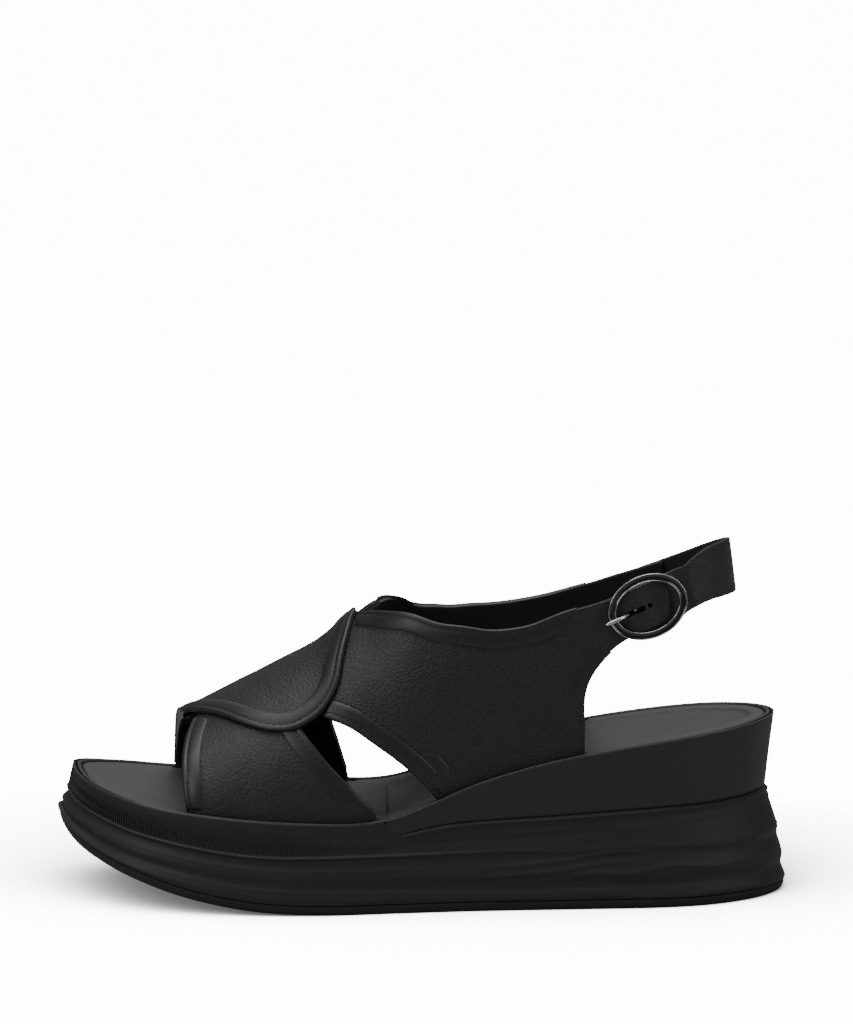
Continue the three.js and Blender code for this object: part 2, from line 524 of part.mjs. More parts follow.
function build() {
  const group = new THREE.Group();
  group.name = 'wedge_sandal';
  const finish = {
    rubber: { color: 0x121212, roughness: 0.8, metalness: 0 },
    wedge: { color: 0x161616, roughness: 0.72, metalness: 0 },
    leather: { color: 0x131314, roughness: 0.45, metalness: 0 },
    lining: { color: 0x1c1c1d, roughness: 0.85, metalness: 0 },
    sock: { color: 0x2a2a2b, roughness: 0.6, metalness: 0 },
    foam: { color: 0x3a3a3a, roughness: 0.95, metalness: 0 },
    board: { color: 0x7a6a50, roughness: 0.9, metalness: 0 },
    steel: { color: 0x8a8d90, roughness: 0.35, metalness: 1 },
    buckle: { color: 0x4a4d52, roughness: 0.15, metalness: 1 },
  };
  const add = (name, geometry, kind) => {
    const mesh = new THREE.Mesh(geometry, new THREE.MeshStandardMaterial(finish[kind]));
    mesh.name = name;
    group.add(mesh);
    return mesh;
  };

  // --------------------------------------------------------------------- sole
  const out = (f) => (x) => flare(x) * f;
  const plus = (line, d) => (x) => line(x) + d;
  const mean = (a, b, t) => (x) => a(x) + (b(x) - a(x)) * t;
  const tip = NOTCH.map((x) => x * kx);
  const lip = plus(rimLine, -0.5);
  // Top of the platform: rim lip in front, wedge seam behind, a slanted joint between.
  const platformTop = (x) => {
    const t = Math.min(1, Math.max(0, (x - tip[0]) / (tip[1] - tip[0])));
    return lip(Math.min(x, tip[0])) * (1 - t) + seamLine(Math.max(x, tip[1])) * t;
  };
  // The wedge wall leans in from the rim down to the seam.
  const seamInset = curve([[-14 * kx, 0], [10 * kx, -0.9], [60 * kx, -1.6], [124 * kx, -3.2]]);
  const wallTop = (x) => (x < tip[0] ? 0 : seamInset(x));

  add('outsole', stack([
    ring(out(0.45), soleBottom),
    ring(out(0.8), plus(soleBottom, 1)),
    ring(out(0.92), plus(soleBottom, OUTSOLE)),
  ]), 'rubber');

  const tray = stack([
    ring(-RIM_WALL, plus(rimLine, -TRAY_DEPTH)),
    ring(-RIM_WALL, plus(rimLine, 6)),
  ]);
  const seat = stack([
    ring(GAP - BEAD_OUT, plus(rimLine, 0.1 - BEAD_HEIGHT - GAP)),
    ring(GAP - BEAD_OUT, plus(rimLine, 6)),
  ]);
  add('platform', cut(stack([
    ring(out(0.95), plus(soleBottom, OUTSOLE + GAP)),
    ring(out(1), ridgeThree),
    ring(out(0.62), mean(ridgeThree, ridgeTwo, 0.55)),
    ring(out(0.72), ridgeTwo),
    ring(out(0.28), mean(ridgeTwo, ridgeOne, 0.7)),
    ring(out(0.34), ridgeOne),
    ring(out(0.14), mean(ridgeOne, platformTop, 0.2)),
    ring(wallTop, platformTop),
  ]), tray, seat), 'rubber');

  // Groove and steel strip under the board, from the arch to the heel.
  const bar = (from, to, width, low, high) => {
    const row = (y) => (z) => [...Array(11).keys()].map((i) => {
      const x = (from + (to - from) * i / 10) * kx;
      return [x, y, rimLine(x) - z];
    });
    return slab([row(-width / 2)(low), row(width / 2)(low)],
      [row(-width / 2)(high), row(width / 2)(high)]);
  };
  const [shankWidth, shankThick] = SHANK;
  add('wedge_block', cut(stack([
    ring(wallTop, plus(platformTop, GAP), WEDGE_FROM),
    ring(0, lip, WEDGE_FROM),
  ]), tray, seat, bar(13.6, 84.4, shankWidth + 2 * GAP, TRAY_DEPTH + shankThick + GAP, 0)),
  'wedge');
  add('shank', bar(14, 84, shankWidth, TRAY_DEPTH + shankThick, TRAY_DEPTH), 'steel');

  add('rim_bead', loop([
    ring(-BEAD_OUT, plus(rimLine, 0.1 - BEAD_HEIGHT)),
    ring(-BEAD_OUT - BEAD_WIDTH, plus(rimLine, 0.1 - BEAD_HEIGHT)),
    ring(-BEAD_OUT - BEAD_WIDTH, plus(rimLine, -0.5)),
    ring(-BEAD_OUT - BEAD_WIDTH * 0.72, plus(rimLine, 0.1)),
    ring(-BEAD_OUT - BEAD_WIDTH * 0.28, plus(rimLine, 0.1)),
    ring(-BEAD_OUT, plus(rimLine, -0.5)),
  ]), 'rubber');

  // ------------------------------------------------------------------ footbed
  const level = (distance, top, thickness) => stack([
    ring(distance, plus(rimLine, -top - thickness)),
    ring(distance, plus(rimLine, -top)),
  ]);
  const sockTop = 1;
  const cushionTop = sockTop + SOCK + GAP;
  const boardTop = cushionTop + CUSHION + GAP;
  const under = -STRAP_INSET - 2 * GAP;
  add('insole_board', level(under, boardTop, BOARD), 'board');
  add('footbed_cushion', level(under, cushionTop, CUSHION), 'foam');
  // Straight run of a quarter along the rim.
  const quarterFoot = (angle) => edge([[0, 4.8, angle], [1, 58.4, angle]]);
  // The sock is notched where the strap ends go down beside the footbed.
  const slot = (a, b, from, to, turn) => patch(moved(a, 2 * GAP, turn), moved(b, 2 * GAP, -turn),
    -2 * GAP, 8, 8, 12, from, to);
  add('sock_lining', cut(level(-RIM_WALL - GAP, sockTop, SOCK),
    slot(FRONT_TOE_EDGE, FRONT_HEEL_EDGE, -0.05, 0.2, 1),
    slot(PANEL_TOE_EDGE, PANEL_HEEL_EDGE, 0.86, 1.05, 1),
    slot(quarterFoot(TAB), quarterFoot(12), -0.01, 1.01, -1),
    slot(quarterFoot(180 - TAB), quarterFoot(168), -0.01, 1.01, 1)), 'sock');

  // ------------------------------------------------------------------- straps
  const layers = (name, a, b, nu, nv, bow) => {
    add(name + '_lining', patch(a, b, 0, LINING, nu, nv, 0, 1, bow), 'lining');
    add(name, patch(a, b, OUTER_LOW, OUTER_HIGH, nu, nv, 0, 1, bow), 'leather');
  };
  layers('outer_front_strap', FRONT_TOE_EDGE, FRONT_HEEL_EDGE, 13, 9);
  layers('inner_quarter', INNER_LOW_EDGE, INNER_TOP_EDGE, 22, 8, quarterBow);
  add('inner_front_lining', patch(LINING_TOE_EDGE, LINING_HEEL_EDGE, 0, LINING, 20, 8), 'lining');
  add('instep_interlining', patch(LINING_TOE_EDGE, LINING_HEEL_EDGE, OUTER_LOW, OUTER_HIGH,
    12, 8, 0, 0.52), 'lining');
  add('crossover_panel', patch(PANEL_TOE_EDGE, PANEL_HEEL_EDGE, (x, a) => BAND_LOW + stepDown(a),
    (x, a) => BAND_LOW + LEATHER + stepDown(a), 34, 10), 'leather');

  // The billet lies over the wrapped bar, with a slot for the tongue.
  const rise = (height) => (x, a) => height + billetRise(x, a);
  const tongueSlot = buckleBlock([BAR_SHIFT - 6, BAR_SHIFT + 3.2], [-1.3, 1.3], [-1, 8]);
  const steps = [...Array(21).keys()].map((k) => k * 0.043);
  for (let k = 1; k <= 16; k += 1) steps.push(0.86 + 0.14 * k / 16);
  add('outer_quarter_lining', cut(patch(OUTER_LOW_EDGE, OUTER_TOP_EDGE, rise(0), rise(LINING),
    steps, 8, 0, 1, quarterBow), tongueSlot), 'lining');
  add('outer_quarter', cut(patch(OUTER_LOW_EDGE, OUTER_TOP_EDGE, rise(OUTER_LOW),
    rise(OUTER_HIGH), steps, 8, 0, 1, quarterBow), tongueSlot), 'leather');

  // -------------------------------------------------------------- folded edge bands
  const band = (name, path, side, n, inner = [0, 1], lift = () => 0) => add(name, patch(path,
    span(moved(path, BAND_WIDTH, side), ...inner), (x, a) => BAND_LOW + lift(a),
    (x, a) => BAND_HIGH + lift(a), n, 1), 'leather');
  band('front_strap_toe_band', span(FRONT_TOE_EDGE, 0.18, 0.9), -1, 10, [0, 0.93]);
  band('front_strap_heel_band', span(FRONT_HEEL_EDGE, 0.18, 0.58), 1, 8);
  band('outer_quarter_front_band', edge([[0, 2, 4], [1, -31.5, 39]]), -1, 8);
  band('outer_quarter_top_band', span(OUTER_TOP_EDGE, 0.335, 0.88), -1, 24);
  band('outer_quarter_rear_band', span(OUTER_LOW_EDGE, 0.71, 0.88), 1, 8);
  band('crossover_band', PANEL_EDGE, 1, 56, [0, 1], (a) => LEATHER + 2 * GAP + stepDown(a));
  band('inner_quarter_front_band', edge([[0, 2, 176], [1, -30, 139.5]]), 1, 8);
  band('inner_quarter_top_band', span(INNER_TOP_EDGE, 0.36, 0.86), 1, 16);
  band('inner_quarter_rear_band', span(INNER_LOW_EDGE, 0.71, 0.86), -1, 8);

  // --------------------------------------------------------------- heel strap
  // Centre line of its outer leather: round the bar, behind the heel, to the inner tail.
  const barWrap = [...Array(7).keys()].map((k) => {
    const w = -Math.PI / 2 - Math.PI * k / 6;
    const r = LOOP_IN + LOOP / 2;
    return [BAR_SHIFT + r * Math.cos(w), BAR_DROP + r * Math.sin(w)];
  });
  const nearBuckle = [[10, -3.1], [4, -2.8], ...barWrap, [0, -0.25], [4, -0.95], [9, -1.15],
    [13.9, -2.1], [18, -2.3]]
    .map(([u, n]) => ({ at: atBuckle(u, 0, n), width: STRAP_WIDTH }));
  const onTail = (x, a, h) => onLast(x * kx, a, h);
  const lift = (z) => rimLine(70 * kx) + (z - rimLine(70 * kx)) * UPPER_RISE;
  const around = [[101, -13.6, 115.2, 18.3], [106, -6.6, 115.7, 19], [108.2, 1.4, 115.2, 19],
    [106.4, 9.2, 113.6, 18.4], [101.3, 15.6, 111.2, 17.2], [94, 20.2, 108.2, 15.8]]
    .map(([x, y, z, width]) => ({ at: [x * kx, y * ky, lift(z)], width }));
  const joined = [[85.5, 156.3, 0.6], [80, 157, 0.8], [75, 158, 0.8]]
    .map(([x, a, h]) => ({ at: onTail(x, a, OUTER_HIGH + h), width: STRAP_WIDTH - 1 }));
  const heelKnots = [nearBuckle[nearBuckle.length - 1], ...around, joined[0]];
  const smooth = (list) => {
    const line = (get) => curve(list.map((k, i) => [i, get(k)]));
    const f = [0, 1, 2].map((c) => line((k) => k.at[c]));
    const w = line((k) => k.width);
    return [...Array(4 * (list.length - 1) + 1).keys()].map((i) => i / 4)
      .map((t) => ({ at: f.map((g) => g(t)), width: w(t) }));
  };
  const heelPath = smooth(heelKnots);
  // Each station's width runs upwards, leaning a little inwards.
  const leaned = (list) => list.map((k, i) => {
    const a = new THREE.Vector3(...list[Math.max(i - 1, 0)].at);
    const t = new THREE.Vector3(...list[Math.min(i + 1, list.length - 1)].at).sub(a).normalize();
    const inwards = new THREE.Vector3(82 * kx - k.at[0], 2 - k.at[1], 0).normalize();
    const up = inwards.multiplyScalar(0.12).add(new THREE.Vector3(0, 0, 1));
    return { ...k, across: up.addScaledVector(t, -up.dot(t)).toArray() };
  });
  const flat = (list) => list.map((k) => ({ ...k, across: AXES.v.toArray() }));
  const strap = [...flat(nearBuckle.slice(0, -1)), ...leaned([...heelPath, ...joined.slice(1)])];
  const leafSlot = buckleBlock([BAR_SHIFT - 4, BAR_SHIFT + 3.2], [-1.3, 1.3], [-5, 4]);
  add('heel_strap', cut(ribbon(strap, LOOP), leafSlot), 'leather');
  const liningAt = -(LOOP / 2 + GAP + LINING / 2);
  const liningPath = strap.slice(nearBuckle.length - 2, -joined.length);
  add('heel_strap_lining', ribbon(liningPath, LINING, liningAt), 'lining');

  // ------------------------------------------------------------------- buckle
  const [halfLong, halfWide] = BUCKLE.map((v) => v / 2 - WIRE);
  const seatAt = (u) => OUTER_HIGH + FRAME_CLEAR + WIRE - SEAT_BEND * u * u;
  // The frame stands higher where the billet bends up to its underside.
  const shares = [...Array(17).keys()].map((k) => k / 16);
  const proud = steps.filter((t) => t > 0.6).flatMap((t) => shares.map((s) => {
    const [low, high] = [OUTER_LOW_EDGE(t), OUTER_TOP_EDGE(t)];
    const [x, a] = [0, 1].map((k) => low[k] + (high[k] - low[k]) * s);
    const p = new THREE.Vector3(...onLast(x, a, OUTER_HIGH + billetRise(x, a))).sub(AXES.o);
    const [u, v, n] = [AXES.u, AXES.v, AXES.n].map((axis) => p.dot(axis));
    const below = Math.abs(Math.hypot(u / halfLong, v / halfWide) - 1) < UNDER_FRAME;
    return below ? n + GAP / 3 - (seatAt(u) - WIRE) : 0;
  }));
  const lifted = Math.max(0, ...proud);
  const seatTop = (u) => seatAt(u) + lifted;
  const oval = [...Array(32).keys()].map((k) => {
    const w = 2 * Math.PI * k / 32;
    const u = halfLong * Math.cos(w);
    return atBuckle(u, halfWide * Math.sin(w), seatTop(u));
  });
  const barHalf = halfWide * Math.sqrt(1 - (BAR_SHIFT / halfLong) ** 2);
  const barAt = (v) => atBuckle(BAR_SHIFT, v, BAR_DROP);
  // The centre bar hangs from the frame's sides on two short legs.
  const leg = (v) => atBuckle(BAR_SHIFT, v, seatTop(BAR_SHIFT));
  const centreBar = sweep([leg(-barHalf), barAt(-barHalf), barAt(barHalf), leg(barHalf)],
    BAR, 10, false, AXES.u);
  add('buckle_frame', geometryOf(solid(sweep(oval, WIRE, 8, true, AXES.n))
    .add(solid(centreBar))), 'buckle');

  const eyeOut = LOOP_OUT - 0.1;
  const eye = (r, half) => sweep([barAt(-half), barAt(half)], r, 16, false, AXES.n);
  const tongueTop = seatTop(-halfLong) + WIRE + GAP + TONGUE;
  const tongue = sweep([[-5.1, 0.1], [-6.5, 1.9], [-8.3, 3.7], [-10.6, tongueTop - 0.5],
    [-halfLong, tongueTop], [-halfLong - 2.6, tongueTop - 0.3]]
    .map(([u, n]) => atBuckle(u, 0, n)), TONGUE, 8, false, AXES.v);
  add('buckle_tongue', geometryOf(solid(eye(eyeOut, 0.85)).add(solid(tongue))
    .subtract(solid(eye(LOOP_IN, 3)))), 'buckle');

  // Origin at the middle of the base of the whole sandal's bounding box.
  const box = new THREE.Box3().setFromObject(group);
  group.children.forEach((mesh) => mesh.geometry.translate(
    -(box.min.x + box.max.x) / 2, -(box.min.y + box.max.y) / 2, -box.min.z));
  return group;
}

export default build();
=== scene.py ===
"""Wedge sandal, left shoe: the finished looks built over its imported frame."""
import math

import bpy
import numpy as np
from bpy.props import FloatProperty, FloatVectorProperty, IntProperty, PointerProperty
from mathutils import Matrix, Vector


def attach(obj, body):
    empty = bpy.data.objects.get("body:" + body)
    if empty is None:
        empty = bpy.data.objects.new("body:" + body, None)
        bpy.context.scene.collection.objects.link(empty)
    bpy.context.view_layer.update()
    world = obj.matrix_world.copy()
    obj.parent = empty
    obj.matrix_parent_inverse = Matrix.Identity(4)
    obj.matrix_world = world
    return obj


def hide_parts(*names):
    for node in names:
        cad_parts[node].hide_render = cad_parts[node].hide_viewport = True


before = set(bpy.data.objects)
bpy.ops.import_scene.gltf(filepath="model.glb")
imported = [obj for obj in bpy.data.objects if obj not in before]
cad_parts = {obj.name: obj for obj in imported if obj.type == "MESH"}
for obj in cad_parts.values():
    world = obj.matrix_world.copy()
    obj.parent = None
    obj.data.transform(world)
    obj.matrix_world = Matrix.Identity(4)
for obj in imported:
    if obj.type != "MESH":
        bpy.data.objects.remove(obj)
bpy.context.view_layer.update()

bl_info = {
    "name": "Wedge sandal",
    "version": (1, 0, 0),
    "blender": (4, 5, 0),
    "location": "View3D > Sidebar > Sandal",
    "description": "Builds a leather wedge sandal over its fixed frame",
    "category": "Add Mesh",
}

# ------------------------------------------------------------------ sizes, mm
# The tables below are drawn from their own origin; OFFSET takes them to the frame.
OFFSET = np.array([-0.101, 1.062, 0.026])
GAP = 0.3  # clearance between neighbours
LINING = 0.8
LEATHER = 1.2
LEATHER_LOW = LINING + GAP  # heights over the last
LEATHER_TOP = LEATHER_LOW + LEATHER
PANEL_LOW = LEATHER_TOP + GAP
PANEL_TOP = PANEL_LOW + LEATHER
BAND_WIDTH = 6.3
STRAP_INSET = 6.1  # from the rim in to the straps
TAB = -24.0  # angle on the last where a strap's tab ends, beside the footbed
TAB_DEPTH = 5.0  # how far the tab goes down there
OUTSOLE = 3.4
RIB_LEVELS = (5.45, 6.2, 6.86)  # foot, middle and head of the toe ribs on the wall
RIB_END = -13.6  # how far back the toe ribs go
TREAD_MARGIN = 9.5
TREAD_SPACING = 14.5  # across the sole, from one tread bar to the next
TREAD_STAGGER = 1.6
TREAD_DEPTH = 1.06  # from the sole's lowest face up to the bars
BEAD = (1.3, 3.1)  # the rim bead's two sides, in from the rim
SOCK_EDGE = -3.45
NOTCH = (-13.2, -8.0)  # the slanted joint between platform and wedge
WEDGE_TIP = -12.9
LIP_DROP = 0.5  # from the rim line down to the lip
WIRE = 0.95  # half thickness of the oval
HALF_BAND = 1.35  # half width of the oval's flat band
BAR = 0.8  # radius of the centre bar
HALF_LONG, HALF_WIDE = 13.3, 10.25
BAR_SHIFT, BAR_DROP = -4.0, -1.1
LOOP = 0.9  # thickness of the heel strap's loop
LOOP_IN = BAR + GAP
SEAT_BEND = 0.0028
BUCKLE_AT = (78.4, 24.6)  # place on the last
QUARTER_BOW = 6.5
# Slits for the tongue, from one place along the strap to another, and the billet's punched hole.
LINING_SLIT = (-6.6, -2.9)
BILLET_SLIT = (-7.8, -0.9)
LOOP_SLIT = (-8.0, -1.95)
HOLE_AT = 1.0
BAND_END = 1.5  # length over which a band sinks at its ends


def smooth(t):
    """Eased step from 0 to 1."""
    t = np.clip(t, 0, 1)
    return t * t * (3 - 2 * t)


def curve(knots):
    """Smooth curve through (x, value) knots, straight beyond both ends."""
    x, y = np.array(knots, float).T
    slope = np.empty_like(y)
    slope[1:-1] = (y[2:] - y[:-2]) / (x[2:] - x[:-2])
    slope[0] = (y[1] - y[0]) / (x[1] - x[0])
    slope[-1] = (y[-1] - y[-2]) / (x[-1] - x[-2])

    def at(t):
        t = np.asarray(t, float)
        i = np.clip(np.searchsorted(x, t, side="right") - 1, 0, len(x) - 2)
        h = x[i + 1] - x[i]
        s = (t - x[i]) / h
        c = np.clip(s, 0, 1)
        inside = ((2 * c**3 - 3 * c**2 + 1) * y[i] + (c**3 - 2 * c**2 + c) * h * slope[i]
                  + (3 * c**2 - 2 * c**3) * y[i + 1] + (c**3 - c**2) * h * slope[i + 1])
        before = np.minimum(s, 0) * h * slope[i]
        after = np.maximum(s - 1, 0) * h * slope[i + 1]
        return inside + before + after

    return at


# Side-view lines of the sole, toe to heel.
SOLE_BOTTOM = curve([(-127, 23), (-118, 17.8), (-109, 14), (-98, 10.4), (-88, 7.4),
                     (-77, 4.7), (-60, 1.7), (-44, 0.4), (-30, 0), (-18, 0), (60, 0), (127, 0)])
RIM_LINE = curve([(-124, 44), (-112, 40.2), (-95, 37), (-84, 35.6), (-60, 33.4), (-38, 32.2),
                  (-20, 32), (-8, 34), (6, 39.3), (20, 45), (39, 50.6), (57, 54.5), (80, 58.2),
                  (100, 60.8), (124, 63.3)])
SEAM_LINE = curve([(-8, 27.3), (10, 30.6), (45, 32.5), (80, 34.5), (104, 35.4), (122, 36.5)])
RIDGE_ONE = curve([(-124, 34.5), (-112, 30.3), (-95, 26.3), (-60, 20.9), (-25, 20.3), (40, 21),
                   (125, 21.9)])
RIDGE_TWO = curve([(-127, 31), (-112, 25), (-95, 20.5), (-60, 14.9), (-25, 13.4), (125, 13.2)])
RIDGE_THREE = curve([(-127, 27.8), (-112, 19.6), (-95, 14.6), (-60, 7.6), (-40, 6.1),
                     (-20, 5.6), (125, 4.9)])
FLARE = curve([(-127, 5.6), (-100, 4), (-60, 3), (60, 3), (110, 3.6), (127, 4)])
SEAM_INSET = curve([(-14, 0), (10, -0.9), (60, -1.6), (124, -3.2)])
CREST_LINE = curve([(-92, 54.5), (-83, 58.8), (-65, 68.3), (-45, 79), (-34, 85.5), (-25, 93.5),
                    (-14, 103), (0, 123), (20, 150), (50, 168), (95, 176)])
CREST_SIDE = curve([(-90, 4), (-60, 2.5), (-30, 0.5), (0, -1), (50, -1), (95, 0)])

# Rim outline in plan: toe, outer side, heel, inner side.
RIM = [(-121.5, 9), (-118.5, -8), (-111, -21), (-98, -33.5), (-80, -41), (-55, -44),
       (-30, -43.2), (-8, -39.8), (20, -36), (55, -33), (82, -30.5), (100, -25.5), (114, -16),
       (121.5, -5), (123, 4), (119.5, 14), (110, 22.5), (95, 28.5), (70, 31.5), (35, 31), (5, 32),
       (-25, 37), (-55, 41.5), (-82, 41), (-102, 35.5), (-114, 27), (-120, 18)]


def rim_polygon(steps=20):
    """Closed smooth outline through the rim's points."""
    p1 = np.array(RIM, float)[:, None]
    p0, p2, p3 = (np.roll(p1, k, 0) for k in (1, -1, -2))
    t = (np.arange(steps) / steps)[None, :, None]
    return 0.5 * (2 * p1 + (p2 - p0) * t + (2 * p0 - 5 * p1 + 4 * p2 - p3) * t**2
                  + (3 * p1 - p0 - 3 * p2 + p3) * t**3).reshape(-1, 2)


RIM_POINTS = rim_polygon()


class Outline:
    """Outline of the sole in plan at a distance out from the rim."""

    def __init__(self, distance):
        run = np.roll(RIM_POINTS, -1, 0) - np.roll(RIM_POINTS, 1, 0)
        normal = np.stack([run[:, 1], -run[:, 0]], 1) / np.linalg.norm(run, axis=1)[:, None]
        d = distance(RIM_POINTS[:, 0]) if callable(distance) else distance
        pts = RIM_POINTS + normal * np.broadcast_to(d, len(RIM_POINTS))[:, None]
        pts = np.roll(pts, -int(pts[:, 0].argmin()), 0)
        heel = int(pts[:, 0].argmax())
        self.toe, self.heel = pts[0], pts[heel]
        self.sides = [pts[: heel + 1], np.vstack([pts[heel:], pts[:1]])[::-1]]

    def outer(self, x):
        """Outer side of the outline at a place along the sole."""
        return np.interp(x, self.sides[0][:, 0], self.sides[0][:, 1])

    def inner(self, x):
        """Inner side of the outline at a place along the sole."""
        return np.interp(x, self.sides[1][:, 0], self.sides[1][:, 1])


BASE = Outline(0)
FOOT = Outline(-STRAP_INSET)
STEPS = (1 - np.cos(np.pi * np.arange(241) / 240)) / 2


def station_x(line, s=STEPS):
    """Stations along the sole, closer together at its ends."""
    return (BASE.toe[0] + (BASE.heel[0] - BASE.toe[0]) * s
            + (line.toe[0] - BASE.toe[0]) * (1 - s) ** 6
            + (line.heel[0] - BASE.heel[0]) * s**6)


def ring(distance, height, first=0):
    """Ring of points round the sole from one station back to it, at a distance and a height."""
    line = Outline(distance)
    x = station_x(line)
    x[0], x[-1] = line.toe[0], line.heel[0]
    outer, inner = line.outer(x), line.inner(x)
    outer[0] = inner[0] = line.toe[1]
    outer[-1] = inner[-1] = line.heel[1]
    low = np.stack([x, outer, height(x)], 1)[first:]
    high = np.stack([x, inner, height(x)], 1)[first:]
    return np.vstack([low, high[(0 if first else 1):-1][::-1]])


# --------------------------------------------------------- surface of the upper
def last(x, angle):
    """Point of the last: angle 0 at the outer side, 90 at the crest, 180 at the inner."""
    side = np.where(angle < 90, FOOT.outer(x), FOOT.inner(x))
    beyond = np.maximum(0, np.maximum(-angle, angle - 180))
    r = np.radians(np.clip(angle, 0, 180))
    middle = CREST_SIDE(x)
    z = (RIM_LINE(x) - LIP_DROP + (CREST_LINE(x) - RIM_LINE(x)) * np.sin(r)
         + beyond / TAB * TAB_DEPTH)
    return np.stack([x, middle + (side - middle) * np.abs(np.cos(r)), z], -1)


def unit(v):
    """Vectors of length 1."""
    return v / np.maximum(np.linalg.norm(v, axis=-1, keepdims=True), 1e-9)


def last_normal(x, angle, e=0.4):
    """Way out of the last."""
    return unit(np.cross(last(x + e, angle) - last(x - e, angle),
                         last(x, angle + e) - last(x, angle - e)))


def on_last(x, angle, height):
    """Point at a height over the last."""
    x, angle, height = np.broadcast_arrays(*(np.asarray(v, float) for v in (x, angle, height)))
    return last(x, angle) + last_normal(x, angle) * height[..., None]


def edge(knots):
    """Path over the last through (u, x, angle) knots."""
    x = curve([(k[0], k[1]) for k in knots])
    a = curve([(k[0], k[2]) for k in knots])
    return lambda u: np.stack([x(u), a(u)], -1)


def moved(path, width, side):
    """Path moved sideways over the last by a width."""
    def at(u):
        e, steps = 0.004, 4
        p = path(u)
        t = last(*path(u + e).T) - last(*path(u - e).T)
        for _ in range(steps):
            x, a = p.T
            o = last(x, a)
            way = unit(np.cross(last_normal(x, a), t)) * side * width / steps
            gx, ga = 2 * (last(x + 0.5, a) - o), 2 * (last(x, a + 0.5) - o)
            xx, xy, yy = ((m * n).sum(-1) for m, n in ((gx, gx), (gx, ga), (ga, ga)))
            rx, ry = (gx * way).sum(-1), (ga * way).sum(-1)
            det = xx * yy - xy * xy
            p = p + np.stack([rx * yy - ry * xy, ry * xx - rx * xy], -1) / det[:, None]
        return p

    return at


def span(path, start, end):
    """A stretch of a path."""
    return lambda u: path(start + (end - start) * u)


# ---------------------------------------------------------------- strap outlines
FRONT_TOE = edge([(0, -80, TAB), (.1, -80.4, -1), (.25, -81.3, 14), (.4, -81.9, 33),
                  (.55, -81.4, 47), (.66, -80.4, 58), (.8, -78.9, 68), (.92, -77.3, 77),
                  (1, -76, 83.5)])
FRONT_HEEL = edge([(0, -12.2, TAB), (.1, -15.6, -1), (.25, -23.5, 9.5), (.4, -32.5, 21.5),
                   (.55, -40, 35), (.66, -45, 47.5), (.8, -54, 58), (.92, -65, 71), (1, -72, 80)])
LOW_KNOTS = [(0, 29, TAB), (.12, 33, TAB), (.22, 37, TAB), (.28, 40, TAB), (.34, 43.5, TAB),
             (.45, 49.5, TAB), (.55, 56.8, TAB), (.62, 56.5, -6), (.7, 56.3, 4), (.78, 57, 11.3),
             (.86, 62.9, 16), (.93, 73, 19.3), (1, 90.5, 21.8)]
OUTER_LOW = edge(LOW_KNOTS)
OUTER_TOP = edge([(0, -42, 50), (.12, -37.5, 67), (.22, -30, 89), (.28, -22.4, 89.3),
                  (.34, -17, 79.5), (.45, -8, 61), (.55, 3.5, 43.8), (.62, 12, 35.6),
                  (.7, 23, 29.2), (.78, 36, 26.2), (.86, 49, 26.4), (.93, 66, 27.2),
                  (1, 91, 31.5)])
INNER_LOW = edge([(u, x, 180 - a) for u, x, a in LOW_KNOTS[:-1]] + [(1, 84, 160.6)])
INNER_TOP = edge([(0, -41, 136), (.12, -37, 115), (.22, -29.5, 97), (.28, -21.5, 91.4),
                  (.34, -14.5, 105), (.45, -4, 130.5), (.55, 7, 143), (.62, 16, 149),
                  (.7, 27.8, 153), (.78, 41.8, 155), (.86, 55.8, 155), (.93, 69.6, 154),
                  (1, 84, 152.5)])
PANEL_TOE = edge([(0, -45, 39.5), (.07, -50.3, 41.5), (.14, -56.7, 46.5), (.22, -63.2, 54.5),
                  (.32, -72.9, 72), (.38, -78.5, 84.5), (.43, -81.4, 92), (.5, -82.9, 104),
                  (.6, -83.8, 122), (.72, -84.7, 143), (.84, -85.4, 162), (.92, -85.7, 176),
                  (1, -85.2, 180 - TAB)])
PANEL_HEEL = edge([(0, -43, 39.6), (.05, -38.5, 40.5), (.1, -33.5, 43), (.14, -29.9, 47),
                   (.18, -27.6, 52), (.24, -25.9, 61), (.3, -24, 71), (.36, -22.2, 82),
                   (.41, -20.9, 93), (.5, -24, 112), (.6, -30, 131), (.68, -33.6, 144),
                   (.76, -32.4, 156), (.84, -29.5, 167), (.92, -25.8, 179),
                   (1, -22.5, 180 - TAB)])
LINING_TOE = edge([(0, -81, 91.5), (.1, -82.4, 99), (.25, -83.3, 114), (.4, -84.2, 132),
                   (.55, -85, 150), (.7, -85.5, 166), (.85, -85.5, 182), (1, -85, 180 - TAB)])
LINING_HEEL = edge([(0, -44.5, 55), (.1, -39.5, 70), (.25, -34.5, 91), (.35, -35.5, 103),
                    (.45, -41, 119), (.55, -45.5, 138), (.63, -41, 148), (.7, -34.5, 158),
                    (.78, -30.5, 166), (.85, -26.3, 179), (1, -22.9, 180 - TAB)])
PANEL_EDGE = edge([(0, -85.7, 176.5), (.08, -85.2, 160), (.16, -84.5, 140), (.24, -83.7, 120),
                   (.31, -82.9, 104), (.36, -81.4, 92), (.39, -78.5, 84.5), (.43, -72.9, 72),
                   (.49, -63.2, 54.5), (.53, -56.7, 46.5), (.57, -50.3, 41.5), (.6, -44, 39.5),
                   (.63, -38.5, 40.5), (.66, -33.5, 43), (.69, -29.9, 47), (.72, -27.6, 52),
                   (.75, -25.9, 61), (.78, -24, 71), (.81, -22.2, 82), (.84, -20.9, 93),
                   (.88, -24, 112), (.92, -30, 131), (.95, -33.6, 144), (.97, -32.4, 156),
                   (.985, -29.5, 167), (1, -26.6, 176.5)])
OUTER_V = edge([(0, 11.2, -5.5), (1, -33.4, 41)])
INNER_V = edge([(0, 11.2, 185.5), (1, -32, 137.5)])


